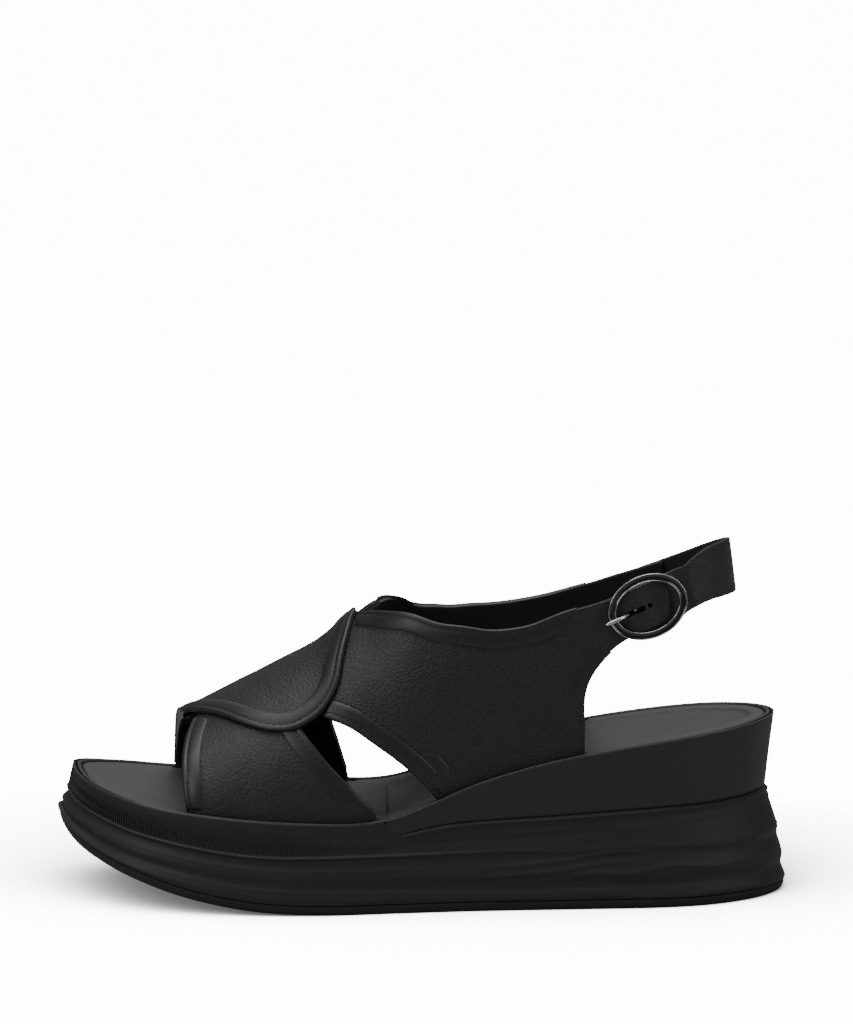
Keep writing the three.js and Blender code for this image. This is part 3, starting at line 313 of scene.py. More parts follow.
def step_down(angle):
    """The crossover panel comes down to its lining on the inner side."""
    return (LEATHER_LOW - PANEL_LOW) * smooth((angle - 148) / 26)


# ------------------------------------------------------------- the buckle's axes
def buckle_axes():
    """Place and directions of the buckle: along the strap, across it and outwards."""
    x, a = (np.array(k) for k in BUCKLE_AT)
    o, n = last(x, a), last_normal(x, a)
    u = last(x + 6, a + 0.88) - o
    u = unit(u - u.dot(n) * n)
    return o, u, np.cross(n, u), n


AT, ALONG, ACROSS, OUTWARDS = buckle_axes()


def at_buckle(u, v, n):
    """Point on the buckle's axes."""
    u, v, n = np.broadcast_arrays(*(np.asarray(k, float) for k in (u, v, n)))
    return AT + u[..., None] * ALONG + v[..., None] * ACROSS + n[..., None] * OUTWARDS


def billet_rise(x, angle):
    """The billet rises where it passes over the wrapped bar."""
    p = last(x, angle) - AT
    near = smooth(1 - np.abs(p @ ALONG - BAR_SHIFT) / 8)
    return (BAR_DROP + LOOP_IN + LOOP + GAP - p @ OUTWARDS) * near


def seat_top(u):
    """Height of the oval's centre line over the billet."""
    return LEATHER_TOP + 0.75 + WIRE - SEAT_BEND * np.asarray(u, float) ** 2


# ------------------------------------------------------------------ mesh making
def lattice(rows, cols, wrap_rows=False, wrap_cols=False, start=0):
    """Quads of a grid of points, as indices."""
    i = np.arange(rows if wrap_rows else rows - 1)[:, None]
    j = np.arange(cols if wrap_cols else cols - 1)[None, :]
    k, m = (i + 1) % rows, (j + 1) % cols
    q = np.stack(np.broadcast_arrays(i * cols + j, k * cols + j, k * cols + m, i * cols + m), -1)
    return (q.reshape(-1, 4) + start).tolist()


def volume(points, faces):
    """Six times the enclosed volume: below zero where the faces point inwards."""
    total = 0.0
    for size in (3, 4):
        f = np.array([q for q in faces if len(q) == size])
        for k in range(1, size - 1):
            if len(f):
                a, b, c = points[f[:, 0]], points[f[:, k]], points[f[:, k + 1]]
                total += (a * np.cross(b, c)).sum()
    return total


def shape(name, points, faces, material, sharp=60):
    """Mesh object from points in the tables' millimetres, its faces turned outwards."""
    points = np.asarray(points, float).reshape(-1, 3)
    if volume(points - points.mean(0), faces) < 0:
        faces = [f[::-1] for f in faces]
    mesh = bpy.data.meshes.new(name)
    mesh.from_pydata(((points + OFFSET) / 1000).tolist(), [], faces)
    mesh.polygons.foreach_set("use_smooth", [True] * len(mesh.polygons))
    if sharp:
        mesh.set_sharp_from_angle(angle=math.radians(sharp))
    mesh.materials.append(material)
    return linked(name, mesh)


def linked(name, data):
    """New object in the scene."""
    obj = bpy.data.objects.new(name, data)
    bpy.context.scene.collection.objects.link(obj)
    return obj


def keep_result(obj):
    """Turns what the modifiers give into the object's plain mesh."""
    graph = bpy.context.evaluated_depsgraph_get()
    made = bpy.data.meshes.new_from_object(obj.evaluated_get(graph))
    obj.modifiers.clear()
    obj.data = made


def slab(lower, upper):
    """Points and faces of the closed body between two grids of points."""
    rows, cols = lower.shape[:2]
    n = rows * cols
    faces = lattice(rows, cols, start=n) + [f[::-1] for f in lattice(rows, cols)]
    rim = ([(i, 0) for i in range(rows - 1)] + [(rows - 1, j) for j in range(cols - 1)]
           + [(i, cols - 1) for i in range(rows - 1, 0, -1)]
           + [(0, j) for j in range(cols - 1, 0, -1)])
    ids = [i * cols + j for i, j in rim]
    for a, b in zip(ids, ids[1:] + ids[:1]):
        faces.append([a, b, b + n, a + n])
    return np.vstack([lower.reshape(-1, 3), upper.reshape(-1, 3)]), faces


def tube(sections, closed=False):
    """Points and faces of a section swept through a list, shape (stations, points, 3)."""
    rows, cols = sections.shape[:2]
    points = sections.reshape(-1, 3)
    faces = lattice(rows, cols, wrap_rows=closed, wrap_cols=True)
    if not closed:
        for row, turn in ((0, False), (rows - 1, True)):
            middle = len(points)
            points = np.vstack([points, sections[row].mean(0)])
            for j in range(cols):
                f = [row * cols + j, row * cols + (j + 1) % cols, middle]
                faces.append(f[::-1] if turn else f)
    return points, faces


def stack(rings):
    """Points and faces of the body through a stack of rings with flat ladders at both ends."""
    rings = np.array(rings)
    rows, cols = rings.shape[:2]
    faces = lattice(rows, cols, wrap_cols=True)
    top = (rows - 1) * cols
    lone = cols % 2 == 0
    for start, turn in ((0, False), (top, True)):
        ladder = []
        a, b = 0, cols - 1
        while b - a > 1:
            single = a == 0 and lone
            ladder.append([a, a + 1, b] if b - a == 2 or single else [a, a + 1, b - 1, b])
            a, b = a + 1, b if single else b - 1
        for f in ladder:
            g = [start + k for k in f]
            faces.append(g[::-1] if turn else g)
    return rings.reshape(-1, 3), faces


def finish_piece(obj, body, slot, *nodes):
    """Puts a piece on its body, in place of the nodes that it stands for."""
    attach(obj, body)
    if nodes:
        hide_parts(*nodes)
    return obj


def rounded(distance, radius):
    """How far a face drops by its rounded edge, at a distance from that edge."""
    d = np.clip(distance, 0, radius)
    return radius - np.sqrt(np.maximum(radius**2 - (radius - d) ** 2, 0))


def uneven(x, a, size=0.1):
    """Soft unevenness of hand-lasted leather."""
    return size * (np.sin(x * 0.21 + a * 0.05) * np.sin(a * 0.13 - x * 0.04)
                   + 0.5 * np.sin(x * 0.43 - a * 0.11 + 1.3))


EDGE_STEPS = np.array([0, 0.04, 0.12, 0.25, 0.42, 0.62])


def strap_layer(first, second, low, high, rows, cols, radius=0.5, crown=0.0, rise=None,
                bow=None):
    """Leather between two edges of the last, with rounded edges; rows is a count or a list."""
    u = np.linspace(0, 1, rows + 1) if isinstance(rows, int) else np.array(rows)
    p, q = first(u), second(u)
    width = np.linalg.norm(last(*q.T) - last(*p.T), axis=1)
    s = np.linspace(0, 1, cols + 1)[None, :]
    inset = EDGE_STEPS * radius / EDGE_STEPS[-1]
    w = width[:, None]
    near = np.minimum(inset[None, :] / w, 0.45)
    v = np.hstack([near, near[:, -1:] + (1 - 2 * near[:, -1:]) * s[:, 1:-1],
                   1 - near[:, ::-1]])
    bent = bow(u)[:, None] * np.sin(np.pi * v) if bow else 0
    x = p[:, :1] + (q - p)[:, :1] * v - bent
    a = p[:, 1:] + (q - p)[:, 1:] * v
    drop = rounded(np.minimum(v, 1 - v) * w, radius)
    lift = rise(x, a) if rise else 0
    puff = crown * np.sin(np.pi * v) ** 0.7 + uneven(x, a, 0.06 if crown else 0)
    lower = on_last(x, a, low(x, a) + drop * 0.9 + lift)
    upper = on_last(x, a, high(x, a) - drop + lift + puff)
    return slab(lower, upper)


def quarter_bow(u):
    """Forward bend of a quarter across its middle, which keeps it below its top edge."""
    return QUARTER_BOW * smooth(1 - np.abs(u - 0.3) / 0.3)


def level(value):
    """The same height everywhere."""
    return lambda x, a: np.full(np.shape(x), float(value))


# Section of a folded edge band: distance in from the edge, and height between its seat
# (0, the leather's face) and the wrap round the edge (counted from the far side, tagged 1).
BAND_SECTION = [(6.3, -.05, 0), (6.22, .16, 0), (6.0, .36, 0), (5.6, .5, 0), (5.0, .62, 0),
                (4.2, .72, 0), (3.3, .78, 0), (2.5, .76, 0), (2.0, .7, 0), (1.7, .6, 0),
                (1.5, .56, 0), (1.3, .6, 0), (1.05, .7, 0), (.6, .78, 0), (.15, .74, 0),
                (-.2, .58, 0), (-.42, .34, 0), (-.5, .02, 0), (-.44, -.3, 0), (-.26, -.5, 0),
                (-.12, -.62, 0), (-.2, .75, 1), (-.36, .5, 1), (-.32, .2, 1), (-.05, .02, 1),
                (.5, -.02, 1), (.9, .15, 1), (1.0, .5, 1), (1.1, -.3, 0), (3.5, -.3, 0),
                (6.0, -.3, 0)]


def band_body(path, side, top, under, count, inner):
    """Folded band along a path; top and under give the layer's two faces."""
    u = np.linspace(0.0, 1.0, count)
    p = path(u)
    q = span(moved(path, BAND_WIDTH, side), *inner)(u)
    run = np.cumsum(np.r_[0, np.linalg.norm(np.diff(last(*p.T), axis=0), axis=1)])
    fade = smooth(run / BAND_END) * smooth((run[-1] - run) / BAND_END)
    out = []
    for s, h, far in BAND_SECTION:
        x, a = (p + (q - p) * s / BAND_WIDTH).T
        low_seat = smooth(np.minimum(a, 180 - a) / 9)
        puff = h * (0.35 + 0.65 * low_seat) * (0.3 + 0.7 * fade)
        seat = under(x, a) if far else top(x, a)
        out.append(on_last(x, a, seat + (h if far or h <= 0 else puff)))
    return tube(np.stack(out, 1))


def row_points(path, side, inset, height, count, inner):
    """Points of a stitch row along a path, which stops short of both its ends."""
    u = np.linspace(0.03, 0.97, count)
    p = path(u)
    q = span(moved(path, BAND_WIDTH, side), *inner)(u)
    x, a = (p + (q - p) * inset / BAND_WIDTH).T
    return on_last(x, a, height(x, a))


# -------------------------------------------------------------- nodes and maths
class Graph:
    """A node tree with one method for every node."""

    def __init__(self, tree):
        self.tree = tree

    def add(self, kind, settings=None, **sockets):
        """A node: its settings are set first, then its sockets by name or index."""
        node = self.tree.nodes.new(kind)
        for key, value in (settings or {}).items():
            setattr(node, key, value)
        for key, value in sockets.items():
            name = key.replace("_", " ")
            if key[0] == "i" and key[1:].isdigit():
                socket = node.inputs[int(key[1:])]
            else:
                socket = next(k for k in node.inputs if k.name == name and k.enabled)
            self.join(value, socket)
        return node

    def join(self, value, socket):
        """Links or sets a socket."""
        if isinstance(value, Term):
            value = value.socket
        if isinstance(value, bpy.types.NodeSocket):
            self.tree.links.new(value, socket)
        else:
            socket.default_value = value

    def term(self, socket):
        """A socket ready for maths."""
        return Term(self, socket)


class Term:
    """A value socket that takes part in Python maths."""

    def __init__(self, graph, socket):
        self.graph, self.socket = graph, socket

    def maths(self, operation, first, second=0.0):
        """Adds one Math node."""
        node = self.graph.add("ShaderNodeMath", {"operation": operation}, i0=first, i1=second)
        return Term(self.graph, node.outputs[0])

    def __add__(self, other):
        return self.maths("ADD", self, other)

    __radd__ = __add__

    def __sub__(self, other):
        return self.maths("SUBTRACT", self, other)

    def __rsub__(self, other):
        return self.maths("SUBTRACT", other, self)

    def __mul__(self, other):
        return self.maths("MULTIPLY", self, other)

    __rmul__ = __mul__

    def __pow__(self, other):
        return self.maths("POWER", self, other)

    def step(self, low, high):
        """Eased 0 to 1 between two values."""
        node = self.graph.add("ShaderNodeMapRange", {"interpolation_type": "SMOOTHSTEP"},
                              Value=self, From_Min=low, From_Max=high)
        return Term(self.graph, node.outputs[0])


class Finish(Graph):
    """A procedural material on object coordinates."""

    def __init__(self, name, **constants):
        self.material = bpy.data.materials.new(name)
        self.material.use_nodes = True
        super().__init__(self.material.node_tree)
        self.tree.nodes.clear()
        self.shader = self.add("ShaderNodeBsdfPrincipled")
        for key, value in constants.items():
            self.shader.inputs[key.replace("_", " ")].default_value = value
        self.add("ShaderNodeOutputMaterial", Surface=self.shader.outputs[0])
        self.place = self.add("ShaderNodeTexCoord").outputs["Object"]

    def stretched(self, x, y, z):
        """The place scaled along the object's axes."""
        node = self.add("ShaderNodeVectorMath", {"operation": "MULTIPLY"}, i0=self.place,
                        i1=(x, y, z))
        return node.outputs[0]

    def noise(self, scale, detail=3.0, rough=0.55, at=None, warp=0.0):
        """Soft clouds from 0 to 1."""
        node = self.add("ShaderNodeTexNoise", Vector=at or self.place, Scale=scale,
                        Detail=detail, Roughness=rough, Distortion=warp)
        return self.term(node.outputs[0])

    def cells(self, scale, feature="F1", softness=0.6, at=None):
        """Distance to the nearest of scattered cells."""
        sockets = {"Vector": at or self.place, "Scale": scale}
        if feature == "SMOOTH_F1":
            sockets["Smoothness"] = softness
        node = self.add("ShaderNodeTexVoronoi", {"feature": feature}, **sockets)
        return self.term(node.outputs["Distance"])

    def wave(self, scale, warp=0.0, direction="X"):
        """Bands across one direction."""
        node = self.add("ShaderNodeTexWave", {"bands_direction": direction},
                        Vector=self.place, Scale=scale, Distortion=warp)
        return self.term(node.outputs["Fac"])

    def attribute(self, name):
        """A value that the mesh carries point by point."""
        return self.term(self.add("ShaderNodeAttribute", {"attribute_name": name}).outputs["Fac"])

    def colour(self, mask, low, high):
        """Base colour mixed between two tones."""
        node = self.add("ShaderNodeMix", {"data_type": "RGBA"}, Factor=mask,
                        A=(*low, 1), B=(*high, 1))
        self.join(node.outputs["Result"], self.shader.inputs["Base Color"])

    def roughness(self, value):
        """Roughness that changes over the surface."""
        self.join(value, self.shader.inputs["Roughness"])

    def relief(self, height, depth, strength=1.0):
        """Bump of a height from 0 to 1, of a depth in metres."""
        node = self.add("ShaderNodeBump", Height=height, Distance=depth, Strength=strength)
        self.join(node.outputs[0], self.shader.inputs["Normal"])
        return self.material


def tone(colour, factor):
    """Lighter or darker shade of a colour."""
    return tuple(min(1.0, c * factor) for c in colour[:3])


def leather(name, colour, grain, rough=0.46, depth=1.0):
    """Fine pebbled leather: soft cells, pores, long faint creases and a worn sheen."""
    m = Finish(name, Specular_IOR_Level=0.5, Coat_Weight=0.06, Coat_Roughness=0.35)
    bent = m.noise(420, 2.0)
    warped = m.add("ShaderNodeVectorMath", {"operation": "ADD"}, i0=m.place, i1=bent * 0.0006)
    at = warped.outputs[0]
    big = m.cells(1000 / grain, "SMOOTH_F1", 0.35, at)
    small = m.cells(2300 / grain, "F1", at=at)
    creases = m.noise(46, 4.0, 0.62, at=m.stretched(1.0, 0.6, 1.9), warp=1.4)
    fold = (creases - 0.5).step(-0.02, 0.05)
    fine = m.noise(5200, 2.0)
    patchy = m.noise(70, 3.0)
    pebble = 1 - big.step(0.05, 0.75)
    m.colour((pebble * 0.45 + patchy * 0.5), tone(colour, 0.62), tone(colour, 1.35))
    m.roughness(rough + (patchy - 0.5) * 0.14 + (1 - pebble) * 0.1)
    height = pebble * 0.62 + (1 - small) * 0.2 + fine * 0.1 + fold * 0.12
    return m.relief(height, 0.00016 * depth)


def smooth_leather(name, colour, rough=0.44):
    """Smooth finished leather for folded bands and the sock's edge."""
    m = Finish(name, Specular_IOR_Level=0.5, Coat_Weight=0.08, Coat_Roughness=0.3)
    fine = m.cells(1700, "SMOOTH_F1", 0.4)
    patchy = m.noise(60, 3.0)
    pull = m.noise(260, 3.0, at=m.stretched(1.0, 1.0, 0.45))
    m.colour(patchy * 0.6 + fine * 0.3, tone(colour, 0.7), tone(colour, 1.3))
    m.roughness(rough + (patchy - 0.5) * 0.12 + fine * 0.06)
    return m.relief((1 - fine) * 0.5 + pull * 0.5, 0.00009)


def sock_leather(name, colour, print_tone):
    """Dull smooth lining leather of the footbed, darker in soft random patches."""
    m = Finish(name, Specular_IOR_Level=0.4, Sheen_Weight=0.12, Sheen_Roughness=0.5)
    grain = m.cells(1500, "SMOOTH_F1", 0.5)
    patchy = m.noise(26, 4.0, 0.6)
    fine = m.noise(4200, 2.0)
    m.colour(patchy.step(0.3, 0.7) * 0.7 + grain * 0.25, tone(colour, print_tone), colour[:3])
    m.roughness(0.5 + (patchy - 0.5) * 0.12 + grain * 0.06)
    return m.relief((1 - grain) * 0.6 + fine * 0.3, 0.00008)


def moulded(name, colour, rough=0.62, streak=0.0, depth=1.0):
    """Matt moulded foam or rubber with a fine eggshell surface and faint streaks."""
    m = Finish(name, Specular_IOR_Level=0.42)
    egg = m.noise(3200, 2.0, 0.5)
    cloud = m.noise(38, 4.0, 0.6, at=m.stretched(0.55, 0.55, 1.6))
    lines = m.noise(150, 3.0, 0.55, at=m.stretched(0.12, 0.3, 2.4), warp=0.3)
    m.colour(cloud * 0.7 + lines * 0.3, tone(colour, 0.72), tone(colour, 1.28))
    m.roughness(rough + (cloud - 0.5) * 0.12 + (lines - 0.5) * 0.08)
    return m.relief(egg * 0.3 + lines * streak + cloud * 0.2, 0.00009 * depth)


def woven(name, colour):
    """Close woven lining, warp over weft."""
    m = Finish(name, Specular_IOR_Level=0.3, Sheen_Weight=0.1)
    warp = m.wave(620, warp=0.4)
    weft = m.wave(620, warp=0.4, direction="Z")
    cloth = warp * weft
    patchy = m.noise(90, 3.0)
    m.colour(cloth * 0.5 + patchy * 0.4, tone(colour, 0.6), tone(colour, 1.4))
    m.roughness(0.78 + (patchy - 0.5) * 0.2)
    return m.relief(cloth * 0.8 + patchy * 0.2, 0.00007)


def polished(name, colour, rough=0.14):
    """Plated metal with fine rubbing marks and a soft cloudy tone, lightened point by point by a
    painted glint: painted highlights and painted dark reflections.
    """
    m = Finish(name, Metallic=1.0)
    marks = m.noise(900, 4.0, 0.6, at=m.stretched(1, 0.25, 2.5))
    cloud = m.noise(140, 3.0)
    painted_glint = m.attribute("painted_glint")
    # Painted highlight and reflection: the glint attribute paints the plating light where
    # highlights fall and dark where it would reflect dark surroundings.
    m.colour(painted_glint * (0.8 + cloud * 0.2), tone(colour, 0.14), tone(colour, 1.2))
    m.roughness(rough + (marks - 0.5) * 0.08 + (cloud - 0.5) * 0.05)
    return m.relief(marks, 0.000008)


def thread(name, colour):
    """Waxed twisted thread."""
    m = Finish(name, Specular_IOR_Level=0.5)
    twist = m.wave(1500, warp=0.8, direction="DIAGONAL")
    m.colour(twist, tone(colour, 0.6), tone(colour, 1.5))
    m.roughness(0.42 + twist * 0.15)
    return m.relief(twist, 0.00005)


def board(name, colour):
    """Pressed fibre board, long flecks."""
    m = Finish(name, Specular_IOR_Level=0.25)
    flecks = m.noise(500, 5.0, 0.7, at=m.stretched(0.2, 1, 1))
    m.colour(flecks, tone(colour, 0.7), tone(colour, 1.2))
    m.roughness(0.85 + (flecks - 0.5) * 0.15)
    return m.relief(flecks, 0.00012)


def brushed(name, colour):
    """Rolled spring steel, grained along its length."""
    m = Finish(name, Metallic=1.0)
    grain = m.noise(900, 3.0, 0.6, at=m.stretched(0.05, 1, 1))
    m.colour(grain, tone(colour, 0.8), tone(colour, 1.1))
    m.roughness(0.34 + (grain - 0.5) * 0.2)
    return m.relief(grain, 0.00002)


MADE = {}


def finish_of(kind):
    """The named finish, made once."""
    look = bpy.context.scene.sandal_finish
    makers = {
        "leather": lambda: leather("pebbled_leather", look.leather, look.grain, depth=1.3),
        "band": lambda: smooth_leather("folded_leather", look.leather),
        "strap": lambda: leather("strap_leather", tone(look.leather, 1.7), look.grain, 0.5, 0.7),
        "lining": lambda: woven("strap_lining_cloth", look.lining),
        "sock": lambda: sock_leather("sock_leather", look.sock, 0.82),
        "bead": lambda: smooth_leather("rim_bead_leather", tone(look.sock, 0.62), 0.5),
        "wedge": lambda: moulded("wedge_foam_skin", look.wedge, 0.56, 0.15),
        "platform": lambda: moulded("platform_foam_skin", look.sole, 0.6, 0.5),
        "outsole": lambda: moulded("outsole_rubber", tone(look.sole, 0.85), 0.7, 0.3, 1.5),
        "metal": lambda: polished("buckle_metal", look.metal),
        "thread": lambda: thread("black_thread", look.thread),
        "board": lambda: board("insole_fibre_board", (0.2, 0.14, 0.08)),
        "steel": lambda: brushed("shank_steel", (0.5, 0.51, 0.53)),
    }
    if kind not in MADE:
        MADE[kind] = makers[kind]()
    return MADE[kind]


# ---------------------------------------------------------------- Geometry Nodes
def geometry_tree(name, inputs):
    """A Geometry Nodes tree with named inputs; gives the graph, group input and output."""
    tree = bpy.data.node_groups.new(name, "GeometryNodeTree")
    tree.interface.new_socket("Geometry", in_out="INPUT", socket_type="NodeSocketGeometry")
    for label, kind, value in inputs:
        item = tree.interface.new_socket(label, in_out="INPUT", socket_type=kind)
        item.default_value = value
    tree.interface.new_socket("Geometry", in_out="OUTPUT", socket_type="NodeSocketGeometry")
    graph = Graph(tree)
    return graph, graph.add("NodeGroupInput"), graph.add("NodeGroupOutput")


def close_tree(graph, output, instances, material):
    """Ends a tree in Realize Instances, smooth shading and Set Material."""
    real = graph.add("GeometryNodeRealizeInstances", Geometry=instances)
    soft = graph.add("GeometryNodeSetShadeSmooth", Geometry=real.outputs[0])
    done = graph.add("GeometryNodeSetMaterial", Geometry=soft.outputs[0], Material=material)
    graph.join(done.outputs[0], output.inputs[0])
    return graph.tree


def stitch_tree(material):
    """Stitches laid end to end along every line of the input."""
    g, given, output = geometry_tree("stitch_rows", [
        ("Pitch", "NodeSocketFloat", 0.0026), ("Length", "NodeSocketFloat", 0.0019),
        ("Thickness", "NodeSocketFloat", 0.00042), ("Seed", "NodeSocketInt", 7)])
    line = g.add("GeometryNodeMeshToCurve", Mesh=given.outputs["Geometry"])
    spaced = g.add("GeometryNodeResampleCurve", {"mode": "LENGTH"}, Curve=line.outputs[0],
                   Length=given.outputs["Pitch"])
    tangent = g.add("GeometryNodeInputTangent")
    turn = g.add("FunctionNodeAlignRotationToVector", {"axis": "X"}, Vector=tangent.outputs[0])
    ball = g.add("GeometryNodeMeshUVSphere", Segments=8, Rings=6, Radius=0.5)
    size = g.add("ShaderNodeCombineXYZ", X=given.outputs["Length"],
                 Y=given.outputs["Thickness"], Z=given.outputs["Thickness"])
    vary = g.add("FunctionNodeRandomValue", {"data_type": "FLOAT"}, Min=0.9, Max=1.08,
                 Seed=given.outputs["Seed"])
    grown = g.add("ShaderNodeVectorMath", {"operation": "SCALE"}, i0=size.outputs[0])
    g.join(next(k for k in vary.outputs if k.enabled), grown.inputs["Scale"])
    placed = g.add("GeometryNodeInstanceOnPoints", Points=spaced.outputs[0],
                   Instance=ball.outputs["Mesh"], Rotation=turn.outputs[0],
                   Scale=grown.outputs[0])
    return close_tree(g, output, placed.outputs[0], material)


def rib_tree(material):
    """Fine wavy ribs standing across a band; each point holds the way out and the rib's rise."""
    g, given, output = geometry_tree("toe_ribs", [
        ("Width", "NodeSocketFloat", 0.00034), ("Wave", "NodeSocketFloat", 0.0003)])
    line = g.add("GeometryNodeCurvePrimitiveLine", Start=(0, 0, -0.5), End=(0, 0, 0.5))
    fine = g.add("GeometryNodeResampleCurve", {"mode": "COUNT"}, Curve=line.outputs[0], Count=13)
    place = g.add("GeometryNodeInputPosition")
    parts = g.add("ShaderNodeSeparateXYZ", Vector=place.outputs[0])
    height = g.term(parts.outputs["Z"])
    sway = height.maths("SINE", height * 13.0)
    shift = g.add("ShaderNodeCombineXYZ")
    g.join(sway * g.term(given.outputs["Wave"]), shift.inputs["Y"])
    waved = g.add("GeometryNodeSetPosition", Geometry=fine.outputs[0], Offset=shift.outputs[0])
    taper = 1 - (height * height * 3.2)
    radius = g.add("GeometryNodeSetCurveRadius", Curve=waved.outputs[0])
    g.join(taper, radius.inputs["Radius"])
    section = g.add("GeometryNodeCurvePrimitiveCircle", Resolution=6,
                    Radius=given.outputs["Width"])
    rib = g.add("GeometryNodeCurveToMesh", Curve=radius.outputs[0],
                Profile_Curve=section.outputs[0])
    g.join(True, rib.inputs["Fill Caps"])
    out = g.add("GeometryNodeInputNamedAttribute", {"data_type": "FLOAT_VECTOR"}, Name="out")
    up = g.add("GeometryNodeInputNamedAttribute", {"data_type": "FLOAT_VECTOR"}, Name="up")
    rise = g.add("GeometryNodeInputNamedAttribute", {"data_type": "FLOAT"}, Name="rise")
    face = g.add("FunctionNodeAlignRotationToVector", {"axis": "X"}, Vector=out.outputs[0])
    stand = g.add("FunctionNodeAlignRotationToVector", {"axis": "Z", "pivot_axis": "X"},
                  Rotation=face.outputs[0], Vector=up.outputs[0])
    size = g.add("ShaderNodeCombineXYZ", X=1.0, Y=1.0, Z=rise.outputs[0])
    placed = g.add("GeometryNodeInstanceOnPoints", Points=given.outputs["Geometry"],
                   Instance=rib.outputs[0], Rotation=stand.outputs[0], Scale=size.outputs[0])
    return close_tree(g, output, placed.outputs[0], material)


def tread_tree(material):
    """Wavy tread bars under the outsole; each point holds the way down."""
    g, given, output = geometry_tree("tread_bars", [
        ("Length", "NodeSocketFloat", 0.011), ("Width", "NodeSocketFloat", 0.0011),
        ("Wave", "NodeSocketFloat", 0.0011)])
    line = g.add("GeometryNodeCurvePrimitiveLine", Start=(0, -0.5, 0), End=(0, 0.5, 0))
    fine = g.add("GeometryNodeResampleCurve", {"mode": "COUNT"}, Curve=line.outputs[0], Count=9)
    place = g.add("GeometryNodeInputPosition")
    parts = g.add("ShaderNodeSeparateXYZ", Vector=place.outputs[0])
    along = g.term(parts.outputs["Y"])
    shift = g.add("ShaderNodeCombineXYZ")
    g.join(along.maths("SINE", along * 9.0) * g.term(given.outputs["Wave"]), shift.inputs["X"])
    g.join(along * (g.term(given.outputs["Length"]) - 1.0), shift.inputs["Y"])
    waved = g.add("GeometryNodeSetPosition", Geometry=fine.outputs[0], Offset=shift.outputs[0])
    section = g.add("GeometryNodeCurvePrimitiveCircle", Resolution=6,
                    Radius=given.outputs["Width"])
    rib = g.add("GeometryNodeCurveToMesh", Curve=waved.outputs[0],
                Profile_Curve=section.outputs[0])
    g.join(True, rib.inputs["Fill Caps"])
    down = g.add("GeometryNodeInputNamedAttribute", {"data_type": "FLOAT_VECTOR"}, Name="out")
    turn = g.add("FunctionNodeAlignRotationToVector", {"axis": "Z"}, Vector=down.outputs[0])
    placed = g.add("GeometryNodeInstanceOnPoints", Points=given.outputs["Geometry"],
                   Instance=rib.outputs[0], Rotation=turn.outputs[0])
    return close_tree(g, output, placed.outputs[0], material)


def grown(name, points, edges, tree, attributes=None, values=None):
    """Runs a tree on points and lines in the tables' millimetres and keeps the plain mesh."""
    mesh = bpy.data.meshes.new(name)
    mesh.from_pydata(((np.asarray(points) + OFFSET) / 1000).tolist(), edges, [])
    for key, data in (attributes or {}).items():
        data = np.asarray(data, float)
        kind = "FLOAT_VECTOR" if data.ndim == 2 else "FLOAT"
        layer = mesh.attributes.new(key, kind, "POINT")
        layer.data.foreach_set("vector" if data.ndim == 2 else "value", data.ravel())
    obj = linked(name, mesh)
    modifier = obj.modifiers.new(name, "NODES")
    modifier.node_group = tree
    for item in tree.interface.items_tree:
        if item.in_out == "INPUT" and item.name in (values or {}):
            modifier[item.identifier] = values[item.name]
    keep_result(obj)
    return obj


# ------------------------------------------------------------------ the sole
def platform_top(x):
    """Rim lip in front, wedge seam behind, a slanted joint between."""
    t = np.clip((x - NOTCH[0]) / (NOTCH[1] - NOTCH[0]), 0, 1)
    return ((RIM_LINE(np.minimum(x, NOTCH[0])) - LIP_DROP) * (1 - t)
            + SEAM_LINE(np.maximum(x, NOTCH[1])) * t)


def wall_top(x):
    """How far the top of the platform's wall stands out from the rim."""
    return np.where(x < NOTCH[0], 0, SEAM_INSET(x))


def between(a, b, t):
    """A line between two lines."""
    return lambda x: a(x) + (b(x) - a(x)) * t


# Levels of the platform's wall, from its foot up: height and share of the flare.
WALL = [(lambda x: SOLE_BOTTOM(x) + OUTSOLE + GAP, 0.95), (RIDGE_THREE, 1.0),
        (between(RIDGE_THREE, RIDGE_TWO, 0.55), 0.62), (RIDGE_TWO, 0.72),
        (between(RIDGE_TWO, RIDGE_ONE, 0.7), 0.28), (RIDGE_ONE, 0.34),
        (between(RIDGE_ONE, platform_top, 0.2), 0.14), (platform_top, None)]
WALL_BLEND = [curve([(j, 1.0 if j == k else 0.0) for j in range(len(WALL))])
              for k in range(len(WALL))]

# Soft lines moulded along the wall: path, height, half width, and where it fades in and out.
MOULDED = [
    (RIDGE_ONE, 0.42, 0.6, (-130, -125), (-10, 40)),
    (between(RIDGE_TWO, RIDGE_ONE, 0.32), 0.22, 0.7, (-118, -95), (-20, 20)),
    (between(RIDGE_THREE, RIDGE_TWO, 0.3), 0.2, 0.7, (-105, -80), (-10, 25)),
    (curve([(-30, 22.2), (10, 24.6), (45, 26.4), (80, 28.6)]), -0.28, 0.9, (-30, 5), (60, 85)),
    (curve([(20, 26.6), (50, 27.9), (61, 28.7), (69, 27.9), (90, 28.4)]), 0.3, 0.7, (20, 40),
     (70, 92)),
    (curve([(60, 28), (81, 29.4), (101, 31.5), (119, 33.2)]), 0.38, 0.6, (62, 80), (130, 140)),
    (curve([(0, 14.6), (30, 15.8), (50, 17.5), (59, 19), (68, 20), (84, 20.2)]), 0.42, 0.7,
     (10, 42), (70, 88)),
    (curve([(0, 11.6), (30, 12.4), (50, 14.3), (64, 16.4), (80, 17.4)]), 0.34, 0.8, (5, 40),
     (66, 84)),
    (curve([(15, 9.2), (50, 11), (60, 13.2), (73, 12.6), (87, 15.1), (100, 14.3), (119, 15.6)]),
     0.36, 0.8, (20, 52), (116, 126)),
    (curve([(-40, 9.4), (0, 8.4), (40, 7.9), (80, 8.6), (120, 8.2)]), -0.26, 0.9, (-40, 0),
     (112, 124)),
]


